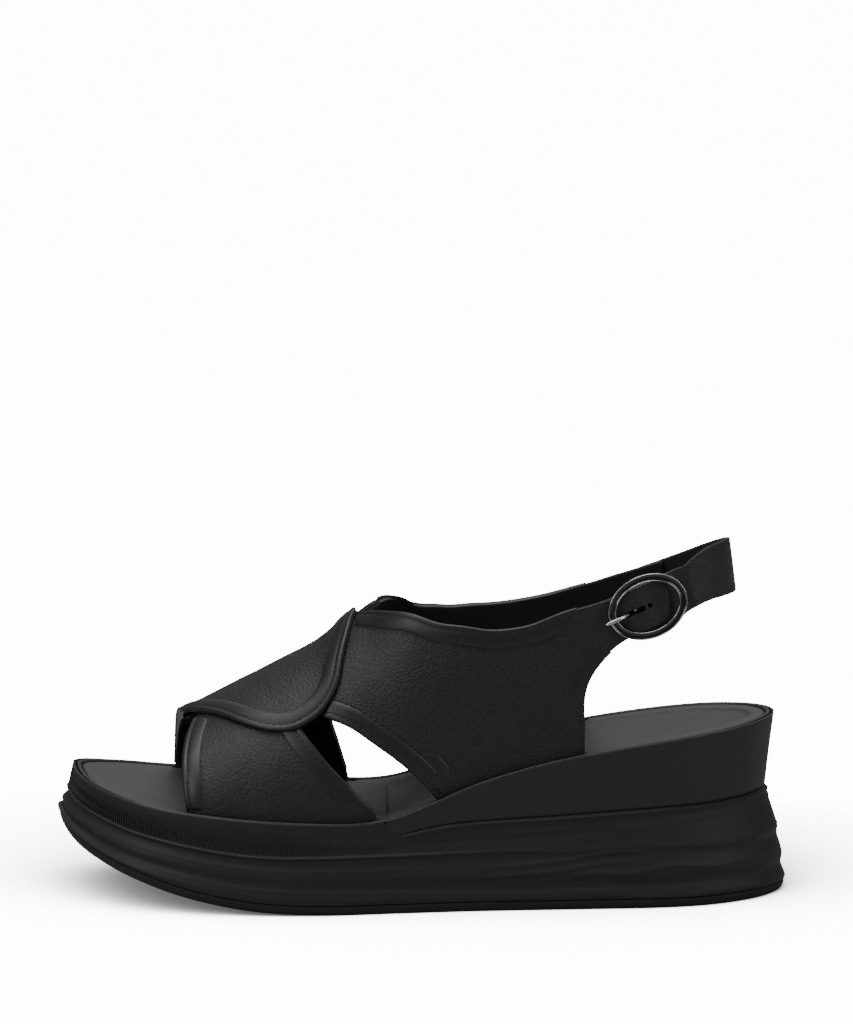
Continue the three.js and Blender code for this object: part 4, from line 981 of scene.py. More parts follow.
def wall_ring(level_at):
    """Ring of the platform's wall at a level from 0 (foot) to 7 (top)."""
    weights = [float(f(level_at)) for f in WALL_BLEND]
    wander = 0.5 if 0.5 < level_at < 5.5 else 0.0

    def height(x):
        wave = wander * np.sin(x / 8.5 + level_at) * smooth((x - 15) / 40)
        return sum(w * z(x) for w, (z, _) in zip(weights, WALL)) + wave

    def distance(x):
        d = sum(w * (FLARE(x) * f if f is not None else wall_top(x))
                for w, (_, f) in zip(weights, WALL))
        z = height(x)
        for line, depth, half, (a, b), (c, e) in MOULDED:
            fade = smooth((x - a) / (b - a)) * (1 - smooth((x - c) / (e - c)))
            d = d + depth * fade * np.exp(-((z - line(x)) / half) ** 2)
        welt = smooth((x + 9) / 6) * np.exp(-((z - platform_top(x) + 0.85) / 0.7) ** 2)
        return d + 0.85 * welt

    return ring(distance, height)


# The lip that turns in at the top of the wall: distance in from the rim, and drop.
LIP = [(-0.22, -0.1), (-0.5, -0.13), (-0.74, 0.0), (-0.88, 0.3), (-0.9, 1.2), (-0.95, 2.3),
       (-3.4, 2.45)]


def platform_rings():
    """Rings of the platform, from its foot over the lip into the tray."""
    rings = [ring(lambda x: FLARE(x) * 0.82, lambda x: SOLE_BOTTOM(x) + OUTSOLE + 0.32)]
    rings += [wall_ring(p) for p in np.r_[0.02:7:84j]]
    for d, drop in LIP:
        rings.append(ring(lambda x: d + wall_top(x), lambda x: platform_top(x) - drop))
    rings.append(ring(-3.5, lambda x: np.minimum(RIM_LINE(x) - 7.6, platform_top(x) - 2.6)))
    return rings


def wedge_rings():
    """Rings of the wedge block, from its seam over the lip into the tray."""
    x = station_x(BASE)
    first = int(np.searchsorted(x, WEDGE_TIP))
    base = lambda x: platform_top(x) + 0.04
    lip = lambda x: RIM_LINE(x) - LIP_DROP
    rings = [ring(lambda x: wall_top(x) - 0.5, base, first)]
    for t in np.r_[0:1:30j]:
        corner = 0.3 * (1 - smooth(t / 0.04)) + 0.12 * np.sin(np.pi * t)
        rings.append(ring(lambda x: wall_top(x) * (1 - t) - corner,
                          lambda x: base(x) + 0.06 + (lip(x) - base(x) - 0.06) * t, first))
    for d, drop in LIP + [(-3.5, 7.1)]:
        rings.append(ring(d, lambda x: np.maximum(lip(x) - drop, base(x) + 0.08), first))
    return rings


def outsole_rings():
    """Rings of the outsole, from its tread recess round the edge to its top."""
    recess = [(-4.2, 1.1), (-3.7, 1.0), (-3.3, 0.15), (-2.9, 0.0)]
    rings = [ring(d, lambda x: SOLE_BOTTOM(x) + z) for d, z in recess]
    side = [(0.3, 0.0), (0.48, 0.06), (0.63, 0.3), (0.74, 0.75), (0.83, 1.4), (0.89, 2.4),
            (0.91, 3.15), (0.89, 3.34), (0.8, 3.4)]
    for f, z in side:
        rings.append(ring(lambda x: FLARE(x) * f, lambda x: SOLE_BOTTOM(x) + z))
    return rings


def ring_section(section):
    """Closed loop of rings from (distance, height line) pairs, as sections of a tube."""
    return np.stack([ring(d, z) for d, z in section], 1)


# ---------------------------------------------------------------- the footbed
def in_straps(x, spans):
    """1 where a strap goes down beside the footbed."""
    return sum(smooth((x - a + 1.4) / 1.2) * smooth((b + 1.4 - x) / 1.2) for a, b in spans)


def sock_body(dish):
    """Footbed under its sock, cut back where the straps go down beside it."""
    line = Outline(SOCK_EDGE)
    x = station_x(line)[1:-1]
    pull = STRAP_INSET + GAP + SOCK_EDGE
    outer = line.outer(x) + pull * in_straps(x, [(-80.6, -14.4), (5.6, 57)])
    inner = line.inner(x) - pull * in_straps(x, [(-86, -23.6), (5.6, 57)])
    width = np.maximum(inner - outer, 0.05)
    near = np.minimum(np.array([0, 0.08, 0.25, 0.5, 0.85, 1.3])[None, :] / width[:, None], 0.3)
    s = np.linspace(0, 1, 65)[None, 1:-1]
    v = np.hstack([near, near[:, -1:] + (1 - 2 * near[:, -1:]) * s, 1 - near[:, ::-1]])
    y = outer[:, None] + width[:, None] * v
    xx = np.broadcast_to(x[:, None], y.shape)
    border = np.vstack([np.stack([x, line.outer(x)], 1), np.stack([x, line.inner(x)], 1)])
    flat = np.stack([xx, y], -1).reshape(-1, 2)
    d = np.concatenate([np.sqrt(((part[:, None] - border[None]) ** 2).sum(-1)).min(1)
                        for part in np.array_split(flat, 24)]).reshape(y.shape)
    edge_d = np.minimum(d, np.minimum(v, 1 - v) * width[:, None])
    heel = smooth((xx - 38) / 22)
    bowl = dish * (0.7 + 0.5 * heel) * smooth((d - 2) / 15)
    pad = 0.55 * heel * smooth((d - 4.4) / 1.6)
    arch = 1.4 * smooth((y - 4) / 22) * np.exp(-((xx - 12) / 26) ** 2) * smooth(d / 9)
    toes = 0.5 * np.exp(-((xx + 88) / 9) ** 2) * smooth(d / 12)
    top = RIM_LINE(xx) - 0.45 - rounded(edge_d, 0.8) - bowl - pad + arch + toes
    low = np.minimum(RIM_LINE(xx) - 5.75, top - 0.6)
    upper = np.stack([xx, y, top], -1)
    lower = np.stack([xx, y, low], -1)
    return slab(lower, upper)


# ------------------------------------------------------------- the heel strap
def heel_stations():
    """Centre, width and width direction of the heel strap, from its hidden end to the tail."""
    w = -np.pi / 2 - np.pi * np.arange(13) / 12
    r = LOOP_IN + LOOP / 2
    wrap = [(BAR_SHIFT + r * math.cos(k), BAR_DROP + r * math.sin(k)) for k in w]
    wrap = [(u, n, -9.0) for u, n in wrap]
    near = np.array([(10, -3.1, -9), (4, -2.8, -9), *wrap, (-1, -.2, -9.1), (1.5, -.6, -9.6),
                     (4, -.95, -9.9), (6.5, -1.05, -9.5), (9, -1.15, -8.8), (11.5, -1.6, -8.1),
                     (13.9, -2.1, -7.8)])
    close = at_buckle(near[:, 0], (near[:, 2] + 7.6) / 2, near[:, 1])
    close_width = 7.6 - near[:, 2]
    start = at_buckle(18, 0, -2.3)
    around = [(101, -13.6, 115.2, 18.3), (106, -6.6, 115.7, 19), (108.2, 1.4, 115.2, 19),
              (106.4, 9.2, 113.6, 18.4), (101.3, 15.6, 111.2, 17.2), (94, 20.2, 108.2, 15.8)]
    tail = [(85.5, 156.3, 2.9), (80, 157, 3.1), (75, 158, 3.1)]
    points = [close[-1], start, *[np.array(k[:3]) for k in around],
              *[on_last(*k) for k in tail]]
    widths = [15.4, 15.2, *[k[3] for k in around], 14, 14, 14]
    t = np.arange(0, len(points) - 1 + 1e-6, 0.125)
    far = np.stack([curve(list(enumerate([p[c] for p in points])))(t) for c in range(3)], 1)
    far_width = curve(list(enumerate(widths)))(t)
    run = unit(np.gradient(far, axis=0))
    inwards = unit(np.stack([82 - far[:, 0], 2 - far[:, 1], 0 * t], 1))
    lean = inwards * 0.12 + np.array([0, 0, 1])
    lean = unit(lean - (lean * run).sum(1)[:, None] * run)
    turn = smooth(t / 1.2)[:, None]
    lean = unit(ACROSS * (1 - turn) + lean * turn)
    centre = np.vstack([close, far[1:]])
    width = np.r_[close_width, far_width[1:]]
    across = np.vstack([np.tile(ACROSS, (len(close), 1)), lean[1:]])
    return centre, width, across, len(close)


def evenly(values, gap, centre):
    """Values resampled at an even distance along a centre line."""
    run = np.r_[0, np.cumsum(np.linalg.norm(np.diff(centre, axis=0), axis=1))]
    t = np.linspace(0, run[-1], int(run[-1] / gap) + 1)
    values = np.asarray(values)
    if values.ndim == 1:
        return np.interp(t, run, values)
    return np.stack([np.interp(t, run, values[:, c]) for c in range(values.shape[1])], 1)


def ribbon(centre, width, across, section):
    """Strap swept along a line; section is (share of the half width, edge shift, height)."""
    run = unit(np.gradient(centre, axis=0))
    side = unit(across - (across * run).sum(1)[:, None] * run)
    up = np.cross(run, side)
    rows = [centre + side * (width / 2 * share + shift)[:, None] + up * height
            for share, shift, height in section]
    return tube(np.stack(rows, 1))


def strap_section(low, high, crown):
    """Rounded flat section with a low crown and a pressed line beside each edge."""
    half = (high - low) / 2
    middle = (high + low) / 2
    out = []
    for share in np.linspace(1, -1, 25)[1:-1]:
        dip = 0.14 * math.exp(-((abs(share) - 0.82) / 0.05) ** 2)
        out.append((share, 0, high + crown * (1 - share**2) - dip))
    for k in range(7):
        w = math.pi / 2 * (1 + 2 * k / 6)
        out.append((-1, half * (1 + math.cos(w)) - half * 0.1, middle + half * math.sin(w)))
    for k in range(7):
        w = math.pi / 2 * (-1 + 2 * k / 6)
        out.append((1, -half * (1 - math.cos(w)) + half * 0.1, middle + half * math.sin(w)))
    return out


# ---------------------------------------------------------------- the buckle
def softened(points, times=2):
    """Path with its corners cut round."""
    p = np.array(points, float)
    for _ in range(times):
        q = np.empty((2 * len(p) - 2, 3))
        q[0::2] = p[:-1] * 0.75 + p[1:] * 0.25
        q[1::2] = p[:-1] * 0.25 + p[1:] * 0.75
        p = np.vstack([p[:1], q, p[-1:]])
    return p


def rod(points, radius, up, sides=16, closed=False, flat=1.0, power=1.0):
    """Bar stock swept along a path; power below 1 flattens its faces."""
    p = np.array(points, float)
    if closed:
        run = unit(np.roll(p, -1, 0) - np.roll(p, 1, 0))
    else:
        run = unit(np.gradient(p, axis=0))
    side = unit(np.cross(up, run))
    top = np.cross(run, side)
    w = 2 * np.pi * np.arange(sides) / sides
    c = np.sign(np.cos(w)) * np.abs(np.cos(w)) ** power
    s = np.sign(np.sin(w)) * np.abs(np.sin(w)) ** power * flat
    r = np.broadcast_to(radius, len(p))[:, None, None]
    round_it = side[:, None] * c[None, :, None] + top[:, None] * s[None, :, None]
    return tube(p[:, None] + r * round_it, closed)


# Buckle band's section: across, height, and painted glint: how light the plating is painted
# there, bright on both lips as painted highlights, dark on the flat band and underside as painted
# reflection and shade.
RING = [(-1, 0, .4), (-1, .5, .9), (-.96, .78, 1), (-.88, .92, 1), (-.78, .86, 1), (-.7, .6, .5),
        (-.62, .4, 0), (-.2, .34, 0), (.2, .34, 0), (.62, .4, 0), (.7, .6, .5), (.78, .86, 1),
        (.88, .92, 1), (.96, .78, 1), (1, .5, .9), (1, 0, .4), (.92, -.6, .2), (.6, -.8, .1),
        (0, -.85, .1), (-.6, -.8, .1), (-.92, -.6, .2)]
RING_PAINTED_GLINT = [k[2] for k in RING]


def flat_ring(points, half):
    """Buckle band with a raised lip along its outer and inner edge."""
    run = unit(np.roll(points, -1, 0) - np.roll(points, 1, 0))
    side = unit(np.cross(OUTWARDS, run))
    top = np.cross(run, side)
    sections = np.stack([points + side * (a * half) + top * (b * WIRE) for a, b, _ in RING], 1)
    return tube(sections, True)


def mark_painted_glint(obj, values):
    """Painted highlight and shade of the plating, point by point: how light its colour is
    painted.
    """
    painted_glint = obj.data.attributes.new("painted_glint", "FLOAT", "POINT")
    painted_glint.data.foreach_set("value", np.asarray(values, float))


def together(*bodies):
    """Several bodies as one list of points and faces."""
    points, faces = [], []
    count = 0
    for p, f in bodies:
        points.append(p)
        faces += [[k + count for k in q] for q in turned_out(p, f)]
        count += len(p)
    return np.vstack(points), faces


def turned_out(points, faces):
    """Faces turned outwards."""
    if volume(points - points.mean(0), faces) < 0:
        return [f[::-1] for f in faces]
    return faces


def cut_through(obj, *cutters):
    """Cuts closed bodies out of a piece and keeps the plain mesh."""
    points, faces = together(*cutters)
    tool = shape(obj.name + "_cutter", points, faces, obj.data.materials[0])
    step = obj.modifiers.new("cut", "BOOLEAN")
    step.object, step.solver, step.operation = tool, "EXACT", "DIFFERENCE"
    keep_result(obj)
    obj.data.set_sharp_from_angle(angle=math.radians(50))
    bpy.data.objects.remove(tool)


# ------------------------------------------------------------------ settings
class SandalSizes(bpy.types.PropertyGroup):
    """Sizes that a maker may change."""

    dish: FloatProperty(name="Footbed dish", description="Depth of the footbed's hollow",
                        default=0.0017, min=0, max=0.003, unit="LENGTH")
    stitch_pitch: FloatProperty(name="Stitch pitch", description="From stitch to stitch",
                                default=0.0024, min=0.001, max=0.006, unit="LENGTH")
    stitch_size: FloatProperty(name="Thread", description="Thickness of the thread",
                               default=0.00042, min=0.0002, max=0.001, unit="LENGTH")
    rib_pitch: FloatProperty(name="Toe rib pitch", description="From rib to rib on the toe band",
                             default=0.00105, min=0.0008, max=0.004, unit="LENGTH")
    tread_pitch: FloatProperty(name="Tread pitch", description="From bar to bar of the tread",
                               default=0.0052, min=0.003, max=0.012, unit="LENGTH")
    seed: IntProperty(name="Seed", description="Seed of the stitches' small differences",
                      default=7, min=0)


def paint(name, description, value):
    return FloatVectorProperty(name=name, description=description, default=value,
                               subtype="COLOR", size=3, min=0, max=1)


class SandalFinish(bpy.types.PropertyGroup):
    """Colours and grain."""

    leather: paint("Leather", "Colour of the straps", (0.0085, 0.0084, 0.0086))
    lining: paint("Lining", "Colour of the strap linings", (0.008, 0.008, 0.0082))
    sock: paint("Sock", "Colour of the footbed", (0.0205, 0.0207, 0.021))
    sole: paint("Platform", "Colour of the platform", (0.0128, 0.0128, 0.013))
    wedge: paint("Wedge", "Colour of the wedge", (0.019, 0.019, 0.0193))
    metal: paint("Buckle", "Colour of the plating", (0.52, 0.53, 0.55))
    thread: paint("Thread", "Colour of the stitches", (0.012, 0.012, 0.0125))
    grain: FloatProperty(name="Grain", description="Size of the leather's pebbles",
                         default=0.8, min=0.3, max=3, subtype="FACTOR")


class SandalStage(bpy.types.PropertyGroup):
    """Camera, light and floor."""

    elevation: FloatProperty(name="Elevation", description="Camera above the horizon",
                             default=math.radians(12), subtype="ANGLE")
    distance: FloatProperty(name="Distance", description="From the camera to the sandal",
                            default=10.0, unit="LENGTH")
    width: FloatProperty(name="View", description="Long side of what the camera sees",
                         default=0.3558, unit="LENGTH")
    light: FloatProperty(name="Light", description="Strength of the soft lights",
                         default=1.0, min=0)


# ----------------------------------------------------------------- the pieces
class SANDAL_OT_outsole(bpy.types.Operator):
    """Rubber outsole with its tread of wavy bars"""

    bl_idname = "sandal.outsole"
    bl_label = "Outsole"

    def execute(self, context):
        sizes = context.scene.sandal_sizes
        rubber = finish_of("outsole")
        sole = shape("outsole_rubber", *stack(outsole_rings()), rubber)
        finish_piece(sole, "sandal", "outsole_rubber", "outsole")
        pitch = sizes.tread_pitch * 1000
        inside = Outline(-TREAD_MARGIN)
        points, normals = [], []
        for i, x in enumerate(np.arange(inside.toe[0] + 3, inside.heel[0] - 2, pitch)):
            low, high = float(inside.outer(x)), float(inside.inner(x))
            count = max(1, round((high - low) / TREAD_SPACING))
            for k in range(count):
                shift = TREAD_STAGGER if i % 2 else -TREAD_STAGGER
                slope = float(SOLE_BOTTOM(x + 0.5) - SOLE_BOTTOM(x - 0.5))
                points.append((x, low + (high - low) * (k + 0.5) / count + shift,
                               float(SOLE_BOTTOM(x)) + TREAD_DEPTH))
                normals.append((-slope, 0, 1))
        bars = grown("outsole_tread", points, [], tread_tree(rubber), {"out": normals})
        finish_piece(bars, "sandal", "outsole_rubber")
        return {"FINISHED"}


class SANDAL_OT_platform(bpy.types.Operator):
    """Flared platform with its moulded lines, and the fine ribs round its toe"""

    bl_idname = "sandal.platform"
    bl_label = "Platform"

    def execute(self, context):
        sizes = context.scene.sandal_sizes
        skin = finish_of("platform")
        body = shape("platform_body", *stack(platform_rings()), skin)
        finish_piece(body, "sandal", "platform_foam", "platform")
        low, middle, high = (wall_ring(k) for k in RIB_LEVELS)
        n = len(STEPS) - 1
        order = np.r_[n:0:-1, 0, len(low) - 1:n:-1]
        keep = [k for k in order if middle[k, 0] < RIB_END]
        low, middle, high = low[keep], middle[keep], high[keep]
        gap = sizes.rib_pitch * 1000
        low, high, at = (evenly(v, gap, middle) for v in (low, high, middle))
        up = unit(high - low)
        out = unit(np.cross(up, np.gradient(at, axis=0)))
        if (out[len(out) // 2] @ np.array([-1, 0, 0])) < 0:
            out = -out
        fade = 1 - smooth((at[:, 0] + 52) / 36)
        spot = (low + high) / 2 - out * (0.24 + 0.26 * (1 - fade))[:, None]
        rise = np.linalg.norm(high - low, axis=1) / 1000
        ribs = grown("toe_ribs", spot, [], rib_tree(skin),
                     {"out": out, "up": up, "rise": rise})
        finish_piece(ribs, "sandal", "platform_foam")
        return {"FINISHED"}


class SANDAL_OT_wedge(bpy.types.Operator):
    """Smooth wedge block and the rim bead that runs round the footbed"""

    bl_idname = "sandal.wedge"
    bl_label = "Wedge and bead"

    def execute(self, context):
        block = shape("wedge_body", *stack(wedge_rings()), finish_of("wedge"))
        finish_piece(block, "sandal", "wedge_foam", "wedge_block")
        section = []
        half, middle = (BEAD[1] - BEAD[0]) / 2, -(BEAD[0] + BEAD[1]) / 2
        for k in range(18):
            w = 2 * math.pi * k / 18
            d = middle + half * math.copysign(abs(math.cos(w)) ** 0.8, math.cos(w))
            z = 0.95 * math.copysign(abs(math.sin(w)) ** 0.9, math.sin(w)) - 1.0
            section.append((d, lambda x, z=z: RIM_LINE(x) + z))
        bead = shape("rim_bead_leather", *tube(ring_section(section), closed=True),
                     finish_of("bead"))
        finish_piece(bead, "sandal", "wedge_foam", "rim_bead")
        return {"FINISHED"}


class SANDAL_OT_footbed(bpy.types.Operator):
    """Dished padded footbed under its sock lining"""

    bl_idname = "sandal.footbed"
    bl_label = "Footbed"

    def execute(self, context):
        dish = context.scene.sandal_sizes.dish * 1000
        bed = shape("footbed_sock", *sock_body(dish), finish_of("sock"), sharp=70)
        finish_piece(bed, "sandal", "sock_leather", "sock_lining", "footbed_cushion")
        return {"FINISHED"}


class SANDAL_OT_inner_parts(bpy.types.Operator):
    """Finishes of the insole board and the steel shank, which keep their frame shapes"""

    bl_idname = "sandal.inner_parts"
    bl_label = "Board and shank"

    def execute(self, context):
        for node, kind in (("insole_board", "board"), ("shank", "steel")):
            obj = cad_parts[node]
            obj.data.materials.clear()
            obj.data.materials.append(finish_of(kind))
        return {"FINISHED"}


class SANDAL_OT_linings(bpy.types.Operator):
    """Linings behind every strap"""

    bl_idname = "sandal.linings"
    bl_label = "Linings"

    def execute(self, context):
        cloth = finish_of("lining")
        zero, top = level(0), level(LINING)
        tail = sorted({*np.linspace(0, 0.86, 101), *np.linspace(0.86, 0.984, 33)})
        for name, a, b, rows, rise, bow in (
                ("outer_front_strap_lining", FRONT_TOE, FRONT_HEEL, 90, None, None),
                ("outer_quarter_lining", OUTER_LOW, OUTER_TOP, tail, billet_rise, quarter_bow),
                ("inner_quarter_lining", INNER_LOW, INNER_TOP, 120, None, quarter_bow),
                ("inner_front_lining", LINING_TOE, LINING_HEEL, 90, None, None)):
            body = strap_layer(a, b, zero, top, rows, 24, radius=0.35, rise=rise, bow=bow)
            piece = shape(name + "_cloth", *body, cloth)
            if rise:
                cut_through(piece, tongue_slot(*LINING_SLIT))
            finish_piece(piece, "sandal", "strap_lining", name)
        return {"FINISHED"}


def tongue_slot(first, second, half=0.95, low_n=-3.0, high_n=9.0):
    """Slit between two places along the strap, for the tongue to stand in."""
    low, high = (np.array([[at_buckle(u, v, n) for v in (-half, half)] for u in (first, second)])
                 for n in (low_n, high_n))
    return slab(low, high)


def punched_hole(u, radius=0.85):
    """Round hole through the billet."""
    w = 2 * np.pi * np.arange(20) / 20
    rows = [at_buckle(u + radius * np.cos(w), radius * np.sin(w), n) for n in (-3.0, 9.0)]
    return tube(np.stack(rows))


class SANDAL_OT_straps(bpy.types.Operator):
    """Pebbled leather straps: front strap, both quarters and the crossover panel"""

    bl_idname = "sandal.straps"
    bl_label = "Straps"

    def execute(self, context):
        hide = finish_of("leather")
        low, top = level(LEATHER_LOW), level(LEATHER_TOP)
        front = shape("outer_front_strap_leather",
                      *strap_layer(FRONT_TOE, FRONT_HEEL, low, top, 150, 56, crown=0.3), hide)
        finish_piece(front, "sandal", "upper_leather", "outer_front_strap")
        tail = sorted({*np.linspace(0, 0.86, 171), *np.linspace(0.86, 0.984, 61)})
        quarter = shape("outer_quarter_leather",
                        *strap_layer(OUTER_LOW, OUTER_TOP, low, top, tail, 50, crown=0.12,
                                     rise=billet_rise, bow=quarter_bow), hide)
        cut_through(quarter, tongue_slot(*BILLET_SLIT), punched_hole(HOLE_AT))
        finish_piece(quarter, "sandal", "upper_leather", "outer_quarter")
        inner = shape("inner_quarter_leather",
                      *strap_layer(INNER_LOW, INNER_TOP, low, top, 180, 44, crown=0.12,
                                   bow=quarter_bow), hide)
        finish_piece(inner, "sandal", "upper_leather", "inner_quarter")

        def under(x, a):
            return panel_under(x, a) + 0.15

        panel = shape("crossover_leather",
                      *strap_layer(PANEL_TOE, PANEL_HEEL, under,
                                   lambda x, a: PANEL_TOP + step_down(a), 220, 50, crown=0.35),
                      hide)
        finish_piece(panel, "sandal", "upper_leather", "crossover_panel", "instep_interlining")
        return {"FINISHED"}


def panel_under(x, a):
    """Far side of the crossover panel: on the straps under it, or on its own lining."""
    free = smooth((a - 88) / 12)
    return np.maximum(PANEL_LOW + step_down(a) - 1.5 * free, LEATHER_LOW - 0.15)


def panel_wrap(x, a):
    """Where the crossover band folds round to."""
    return panel_under(x, a) - (LEATHER_LOW - 0.2) * smooth((a - 92) / 8)


# Stitch rows of a band: distance in from its edge, and height over the layer under it.
STITCH_ROWS = [(1.5, 0.56), (6.75, 0.12)]

# Folded bands: name, path, side, how far its inner edge runs, layer and count of sections.
BANDS = [
    ("front_strap_toe_band", span(FRONT_TOE, .105, .9), -1, (0, .93), "outer", 130),
    ("front_strap_heel_band", span(FRONT_HEEL, .105, .63), 1, (0, 1), "outer", 90),
    ("outer_quarter_front_band", OUTER_V, -1, (0, 1), "outer", 90),
    ("outer_quarter_top_band", span(OUTER_TOP, .32, .885), -1, (0, 1), "outer", 170),
    ("outer_quarter_rear_band", span(OUTER_LOW, .655, .885), 1, (0, 1), "outer", 90),
    ("inner_quarter_front_band", INNER_V, 1, (0, 1), "outer", 90),
    ("inner_quarter_top_band", span(INNER_TOP, .345, .87), 1, (0, 1), "outer", 150),
    ("inner_quarter_rear_band", span(INNER_LOW, .655, .87), -1, (0, 1), "outer", 90),
    ("crossover_band", PANEL_EDGE, 1, (0, 1), "panel", 420),
]


def band_faces(layer):
    """Face that a band lies on, and the face that it folds round to."""
    if layer == "panel":
        return (lambda x, a: PANEL_TOP + step_down(a)), panel_wrap

    def face(x, a):
        low = 1 - smooth((np.minimum(a, 180 - a) + 3) / 9)
        tail = smooth((x - 44) / 14)
        return LEATHER_TOP - 0.62 * np.maximum(low, tail)

    return face, level(0.02)


class SANDAL_OT_bands(bpy.types.Operator):
    """Folded leather bands along the free edges"""

    bl_idname = "sandal.bands"
    bl_label = "Edge bands"

    def execute(self, context):
        hide = finish_of("band")
        for name, path, side, inner, layer, count in BANDS:
            top, under = band_faces(layer)
            body = band_body(path, side, top, under, count, inner)
            piece = shape(name + "_fold", *body, hide, sharp=0)
            finish_piece(piece, "sandal", "upper_leather", name)
        return {"FINISHED"}


# The heel strap's lining behind the buckle: place along the strap, height and width; and how many
# of the strap's stations it stops short of the tail.
LINING_BACKING = [(-7, -3.2, 13.5), (-3.5, -3.4, 14.6), (0, -3.4, 15.4), (5, -3.35, 15.6),
                  (10, -3.3, 15.4)]
LINING_STOP = 17


class SANDAL_OT_heel_strap(bpy.types.Operator):
    """Heel strap that wraps the buckle's bar, with its lining"""

    bl_idname = "sandal.heel_strap"
    bl_label = "Heel strap"

    def execute(self, context):
        centre, width, across, near = heel_stations()
        at, w, side = (evenly(v, 0.55, centre) for v in (centre, width, across))
        strap = shape("heel_strap_leather",
                      *ribbon(at, w, side, strap_section(-0.45, 0.45, 0.1)),
                      finish_of("strap"), sharp=0)
        cut_through(strap, tongue_slot(*LOOP_SLIT, half=1.3, low_n=-5.0, high_n=4.0))
        finish_piece(strap, "sandal", "upper_leather", "heel_strap")
        part = slice(near - 1, len(centre) - LINING_STOP)
        u, n, backing_width = np.array(LINING_BACKING).T
        path = np.vstack([at_buckle(u, -0.3, n), centre[part]])
        width = np.r_[backing_width, width[part]]
        across = np.vstack([np.tile(ACROSS, (len(u), 1)), across[part]])
        at, w, side = (evenly(v, 0.8, path) for v in (path, width, across))
        lining = shape("heel_strap_lining_cloth",
                       *ribbon(at, w - 0.5, side, strap_section(-1.45, -0.62, 0.0)),
                       finish_of("lining"), sharp=0)
        finish_piece(lining, "sandal", "strap_lining", "heel_strap_lining")
        return {"FINISHED"}


class SANDAL_OT_stitching(bpy.types.Operator):
    """Rows of stitches along the bands and the heel strap"""

    bl_idname = "sandal.stitching"
    bl_label = "Stitching"

    def execute(self, context):
        sizes = context.scene.sandal_sizes
        rows = []
        for _, path, side, inner, layer, count in BANDS:
            top, _ = band_faces(layer)
            for inset, lift in STITCH_ROWS:
                rows.append(row_points(path, side, inset,
                                       lambda x, a: top(x, a) + lift, count, inner))
        centre, width, across, near = heel_stations()
        centre, width, across = (v[near:-4] for v in (centre, width, across))
        run = unit(np.gradient(centre, axis=0))
        up = np.cross(run, unit(across))
        for share in (-1, 1):
            rows.append(centre + unit(across) * (share * width * 0.41)[:, None] + up * 0.42)
        points, edges = np.vstack(rows), []
        first = 0
        for row in rows:
            edges += [(first + k, first + k + 1) for k in range(len(row) - 1)]
            first += len(row)
        made = grown("strap_stitching", points, edges, stitch_tree(finish_of("thread")),
                     values={"Pitch": sizes.stitch_pitch, "Length": sizes.stitch_pitch * 0.8,
                             "Thickness": sizes.stitch_size, "Seed": sizes.seed})
        finish_piece(made, "sandal", "upper_leather")
        return {"FINISHED"}


class SANDAL_OT_buckle(bpy.types.Operator):
    """Oval buckle frame with its centre bar, and the tongue"""

    bl_idname = "sandal.buckle"
    bl_label = "Buckle"

    def execute(self, context):
        metal = finish_of("metal")
        w = 2 * np.pi * np.arange(144) / 144
        u = (HALF_LONG + WIRE - HALF_BAND) * np.cos(w)
        oval = at_buckle(u, (HALF_WIDE + WIRE - HALF_BAND) * np.sin(w), seat_top(u))
        half = HALF_WIDE * math.sqrt(1 - (BAR_SHIFT / HALF_LONG) ** 2)
        bar = [at_buckle(BAR_SHIFT, s * half, h) for s, h in (
            (-.965, seat_top(BAR_SHIFT) - .2), (-1, BAR_DROP), (1, BAR_DROP),
            (.965, seat_top(BAR_SHIFT) - .2))]
        bent = [bar[0], bar[0] * .2 + bar[1] * .8, bar[1] * .94 + bar[2] * .06,
                bar[1] * .06 + bar[2] * .94, bar[3] * .2 + bar[2] * .8, bar[3]]
        ring_part = flat_ring(oval, HALF_BAND)
        bar_part = rod(softened(bent), BAR, ALONG, 14)
        oval_frame = shape("buckle_oval", *together(ring_part, bar_part), metal, sharp=0)
        # Painted glint: lips painted bright as highlights, the flat band painted dark as a
        # reflection, the bar half lit.
        mark_painted_glint(oval_frame, np.r_[np.tile(RING_PAINTED_GLINT, len(oval)), [0.3] * len(bar_part[0])])
        finish_piece(oval_frame, "buckle", "buckle_metal", "buckle_frame")

        k = 2 * np.pi * np.arange(40) / 40
        r = (LOOP_IN + LOOP_IN + LOOP - 0.1) / 2
        eye = at_buckle(BAR_SHIFT + r * np.cos(k), 0, BAR_DROP + r * np.sin(k))
        eye_part = rod(eye, 0.39, ACROSS, 12, True, flat=2.0, power=0.7)
        top = float(seat_top(-HALF_LONG)) + WIRE + GAP + 0.7
        path = [(-5.1, .1), (-6.5, 1.9), (-8.3, 3.7), (-10.6, top - .5), (-HALF_LONG, top),
                (-HALF_LONG - 2.6, top - .3)]
        line = softened([at_buckle(a, 0, b) for a, b in path], 3)
        share = np.linspace(0, 1, len(line))
        thick = 0.7 * (1 - 0.35 * smooth((share - 0.82) / 0.18))
        thick[-1] *= 0.55
        shaft = rod(line, thick, ACROSS, 14)
        tongue = shape("buckle_pin", *together(eye_part, shaft), metal, sharp=0)
        # The tongue is painted light all over as its highlight.
        mark_painted_glint(tongue, [0.95] * len(tongue.data.vertices))
        finish_piece(tongue, "tongue", "buckle_metal", "buckle_tongue")
        return {"FINISHED"}


# Stage, in metres.
LOOK_AT = (0.0018, -0.0189, 0.1383)
FLOOR_REACH = 6.0

# Lights: name, place, aim, two sides and strength, in metres and watts.
LIGHTS = (("overhead", (-0.1, 0.1, 1.3), (0, 0, 0.05), (1.3, 0.9), 15),
          ("left_front", (-1.1, -0.9, 0.9), (0, 0, 0.06), (0.7, 0.9), 8),
          ("right_front", (1.2, -0.7, 0.7), (0, 0, 0.07), (0.5, 0.9), 4.5),
          ("behind", (0.2, 1.2, 0.9), (0, 0, 0.08), (1.2, 0.6), 2.2))


